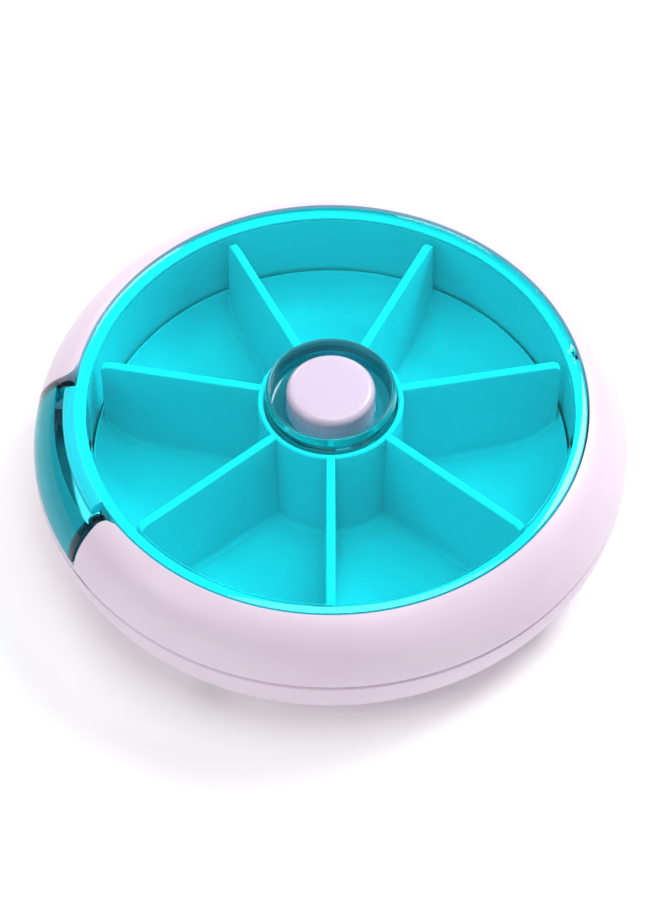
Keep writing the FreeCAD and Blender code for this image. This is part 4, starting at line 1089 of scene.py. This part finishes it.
@dataclass
class OutletDoor:
    """The clear flap: a curved shell in line with the ring, with cheeks and pivot bosses at its ends."""

    line: RingLine
    wall: float = 1.3
    half: float = 19.4
    top_r: float = 41.45
    foot_gap: float = 1.2
    cheek: float = 1.3
    pivot_y: float = -37.8
    pivot_z: float = 20.0
    boss_r: float = 1.25
    boss_share: float = 0.8
    hole_r: float = 0.68
    top_in: float = 0.3
    step_deg: float = 0.3
    edge_round: float = 0.18
    slices: int = 16
    cheek_steps: int = 2
    middle_steps: int = 44
    boss_steps: int = 32

    def chains(self) -> tuple[list[Point], list[Point], list[Point]]:
        """Return the section's outside, its inside and the cheek's inner edge, each from foot to top."""
        line = self.line
        rise = self.foot_gap
        low_out = math.degrees(math.asin(rise / line.arc_r))
        low_in = math.degrees(math.asin(rise / (line.arc_r - self.wall)))
        top_out = line.angle_at(self.top_r)
        top_in = line.angle_at(self.top_r, self.wall)
        shares = [k / self.slices for k in range(self.slices + 1)]
        outer = [line.point(low_out + (top_out - low_out) * share) for share in shares]
        inner = [line.point(low_in + (top_in - low_in) * share, self.wall) for share in shares]
        inboard = -self.pivot_y / math.cos(math.radians(self.half))
        foot_r, foot_z = inner[0]
        hub_z = self.pivot_z - self.boss_r * self.boss_share
        shares = [k / (self.slices - 1) for k in range(self.slices)]
        cheek = [(foot_r + (inboard - foot_r) * share, foot_z + (hub_z - foot_z) * share) for share in shares]
        cheek.append((self.top_r - self.top_in, self.pivot_z))
        return outer, inner, cheek

    def build(self) -> bpy.types.Object:
        """Build the door's mesh and return the piece."""
        bm = bmesh.new()
        outer, inner, cheek = self.chains()
        cheek_deg = math.degrees(self.cheek / self.line.radius)
        middle = 2 * (self.half - cheek_deg - self.step_deg)
        end = [(cheek_deg, self.cheek_steps), (self.step_deg, 1)]
        first, last = spin_outline(bm, outer + inner[::-1], DOOR_SIDE - self.half,
                                   end + [(middle, self.middle_steps)] + end[::-1])

        def rule(radius: float, angle: float, height: float) -> tuple[float, float, float]:
            """Move the inside of the end sectors out to the cheek's edge."""
            if abs(angle) > self.half - cheek_deg - CLOSE:
                for (r, z), (r_new, z_new) in zip(inner, cheek):
                    if abs(radius - r) < CLOSE / 2 and abs(height - z) < CLOSE / 2:
                        return r_new, angle, z_new
            return radius, angle, height

        reshape(bm, rule)
        cap(bm, first)
        cap(bm, last)
        self.add_bosses(bm)
        return finish_piece("door_outlet_flap", bm, self.edge_round, 3)

    def add_bosses(self, bm: bmesh.types.BMesh) -> None:
        """Add the two drilled bosses that turn on the hinge pins."""
        outside = -self.pivot_y * math.tan(math.radians(self.half))
        for sign in (1, -1):
            corners = [(outside - self.cheek, self.hole_r), (outside - self.cheek, self.boss_r),
                       (outside, self.boss_r), (outside, self.hole_r)]
            verts = [bm.verts.new(Vector((sign * x, self.pivot_y, self.pivot_z + r)) * MM)
                     for x, r in corners]
            edges = [bm.edges.new((a, b)) for a, b in zip(verts, verts[1:] + verts[:1])]
            centre = Vector((0, self.pivot_y, self.pivot_z)) * MM
            bmesh.ops.spin(bm, geom=verts + edges, cent=centre, axis=(1, 0, 0), dvec=(0, 0, 0),
                           angle=math.radians(FULL_TURN), steps=self.boss_steps, use_merge=True,
                           use_normal_flip=False, use_duplicate=False)


class Carried:
    """The CAD nodes that stay as they are and get their finishes."""

    FINISHES: dict[str, Finish] = {
        "base_shell": Finish.SHELL, "inner_wall": Finish.WALL, "centre_post": Finish.ACETAL,
        "slip_washer": Finish.ACETAL, "drive_sleeve": Finish.ACETAL, "pawl_ring": Finish.ACETAL,
        "detent_spring": Finish.SPRING, "door_pin_left": Finish.ZINC, "door_pin_right": Finish.ZINC,
        "centre_screw": Finish.ZINC, "body_screw_1": Finish.ZINC, "body_screw_2": Finish.ZINC,
        "body_screw_3": Finish.ZINC, "body_screw_4": Finish.ZINC,
    }

    def dress(self, nodes: dict[str, bpy.types.Object], wardrobe: Wardrobe) -> None:
        """Put each node's finish on it and report it.

        Args:
            nodes: the frame's nodes by name.
            wardrobe: the finishes.
        """
        for name, finish in self.FINISHES.items():
            wardrobe.dress(nodes[name], finish)
            LOG.info("%s keeps its CAD shape, in %s", name, finish.value.name)


# ---------------------------------------------------------------- studio


@dataclass(frozen=True)
class Softbox:
    """A square soft light that faces the object, placed by its bearing from the camera."""

    name: str
    bearing: float
    elevation: float
    distance: float
    size: float
    power: float


@dataclass
class Studio:
    """A pale floor, soft lights and the camera."""

    azimuth: float = 77.14
    elevation: float = 53.0
    distance: float = 450.0
    aim_z: float = 12.5
    lens: float = 118.4
    shift: tuple[float, float] = (-0.0008, -0.0116)
    floor_size: float = 4000.0
    floor_glow: float = 0.12
    sky: float = 0.2
    softboxes: tuple[Softbox, ...] = (
        Softbox("softbox_top", 60.0, 84.0, 900.0, 600.0, 3.5),
        Softbox("softbox_key", 128.0, 46.0, 900.0, 380.0, 4.8),
        Softbox("softbox_back_left", 205.0, 22.0, 900.0, 260.0, 1.2),
        Softbox("softbox_back_right", 168.0, 20.0, 900.0, 160.0, 0.5),
        Softbox("softbox_fill", -60.0, 40.0, 1000.0, 400.0, 1.7),
    )

    def build_floor(self) -> None:
        """Lay a wide pale floor with a faint mottle."""
        bm = bmesh.new()
        bmesh.ops.create_grid(bm, x_segments=1, y_segments=1, size=self.floor_size * MM / 2)
        mesh = bpy.data.meshes.new("studio_floor")
        bm.to_mesh(mesh)
        bm.free()
        floor = bpy.data.objects.new("studio_floor", mesh)
        bpy.context.scene.collection.objects.link(floor)
        material, tree = new_tree("pale_studio_paper")
        coords = add_node(tree, "ShaderNodeTexCoord").outputs["Object"]
        mottle = add_node(tree, "ShaderNodeTexNoise", {"Vector": coords, "Scale": 3.0})
        tone = add_node(tree, "ShaderNodeValToRGB", {"Fac": mottle.outputs["Fac"]})
        ramp_colours(tone, [(LOW_STOP, linear("#fbfbfb")), (HIGH_STOP, linear("#ffffff"))])
        shader = add_node(tree, "ShaderNodeBsdfPrincipled", {
            "Base Color": tone.outputs["Color"], "Roughness": 0.9, "Emission Color": linear("#ffffff"),
            "Emission Strength": self.floor_glow})
        add_node(tree, "ShaderNodeOutputMaterial", {"Surface": shader.outputs["BSDF"]})
        mesh.materials.append(material)

    def hang(self, softbox: Softbox) -> None:
        """Hang one soft light so that it faces the object.

        Args:
            softbox: its place, size in millimetres and power in watts.
        """
        lamp = bpy.data.lights.new(softbox.name, "AREA")
        lamp.size = softbox.size * MM
        lamp.energy = softbox.power
        holder = bpy.data.objects.new(softbox.name, lamp)
        bpy.context.scene.collection.objects.link(holder)
        away = self.direction(self.azimuth + softbox.bearing, softbox.elevation)
        holder.location = away * softbox.distance * MM
        holder.rotation_euler = away.to_track_quat("Z", "Y").to_euler()

    @staticmethod
    def direction(azimuth: float, elevation: float) -> Vector:
        """Return the unit vector from the object towards a viewer at an azimuth and an elevation."""
        a, e = math.radians(azimuth), math.radians(elevation)
        return Vector((math.sin(a) * math.cos(e), -math.cos(a) * math.cos(e), math.sin(e)))

    def build_lights(self) -> None:
        """Light the object from above, with a weaker light on each side and a white sky."""
        for softbox in self.softboxes:
            self.hang(softbox)
        world = bpy.data.worlds.new("white_sky")
        world.use_nodes = True
        background = world.node_tree.nodes["Background"]
        background.inputs["Color"].default_value = linear("#ffffff")
        background.inputs["Strength"].default_value = self.sky
        bpy.context.scene.world = world

    def build_camera(self) -> None:
        """Stand the camera at the object's three-quarter view from above."""
        data = bpy.data.cameras.new("camera")
        data.lens = self.lens
        data.shift_x, data.shift_y = self.shift
        camera = bpy.data.objects.new("camera", data)
        bpy.context.scene.collection.objects.link(camera)
        away = self.direction(self.azimuth, self.elevation)
        camera.location = Vector((0, 0, self.aim_z * MM)) + away * self.distance * MM
        camera.rotation_euler = away.to_track_quat("Z", "Y").to_euler()
        bpy.context.scene.camera = camera
        bpy.context.scene.view_settings.view_transform = "Standard"


def main() -> None:
    """Build the looks around the frame, piece by piece."""
    logging.basicConfig(level=logging.INFO, format="%(message)s")
    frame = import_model()
    wardrobe = Wardrobe()
    studio = Studio()
    studio.build_camera()
    studio.build_floor()
    studio.build_lights()
    Carried().dress(frame["nodes"], wardrobe)
    line = RingLine()
    ring = OuterRing(line)
    pieces = [
        (ring.build(), Finish.SHELL, Body.HOUSING, "outer_ring", "shell_abs"),
        (ring.build_sill(), Finish.SHELL, Body.HOUSING, "outer_ring", "shell_abs"),
        (Lid(line).build(), Finish.LID, Body.HOUSING, "lid", "clear_teal"),
        (PillTray().build(), Finish.TRAY, Body.TRAY, "pill_tray", "tray_pp"),
        (PushButton().build(), Finish.BUTTON, Body.BUTTON, "push_button", "button_abs"),
        (OutletDoor(line).build(), Finish.DOOR, Body.DOOR, "outlet_door", "clear_teal"),
    ]
    for piece, finish, body, node, slot in pieces:
        wardrobe.dress(piece, finish)
        settle(piece, body, node)
    coil = ReturnSpring().build()
    wardrobe.dress(coil, Finish.SPRING)
    ReturnSpring.fit(coil)
    bpy.context.view_layer.update()


if __name__ == "__main__":
    main()
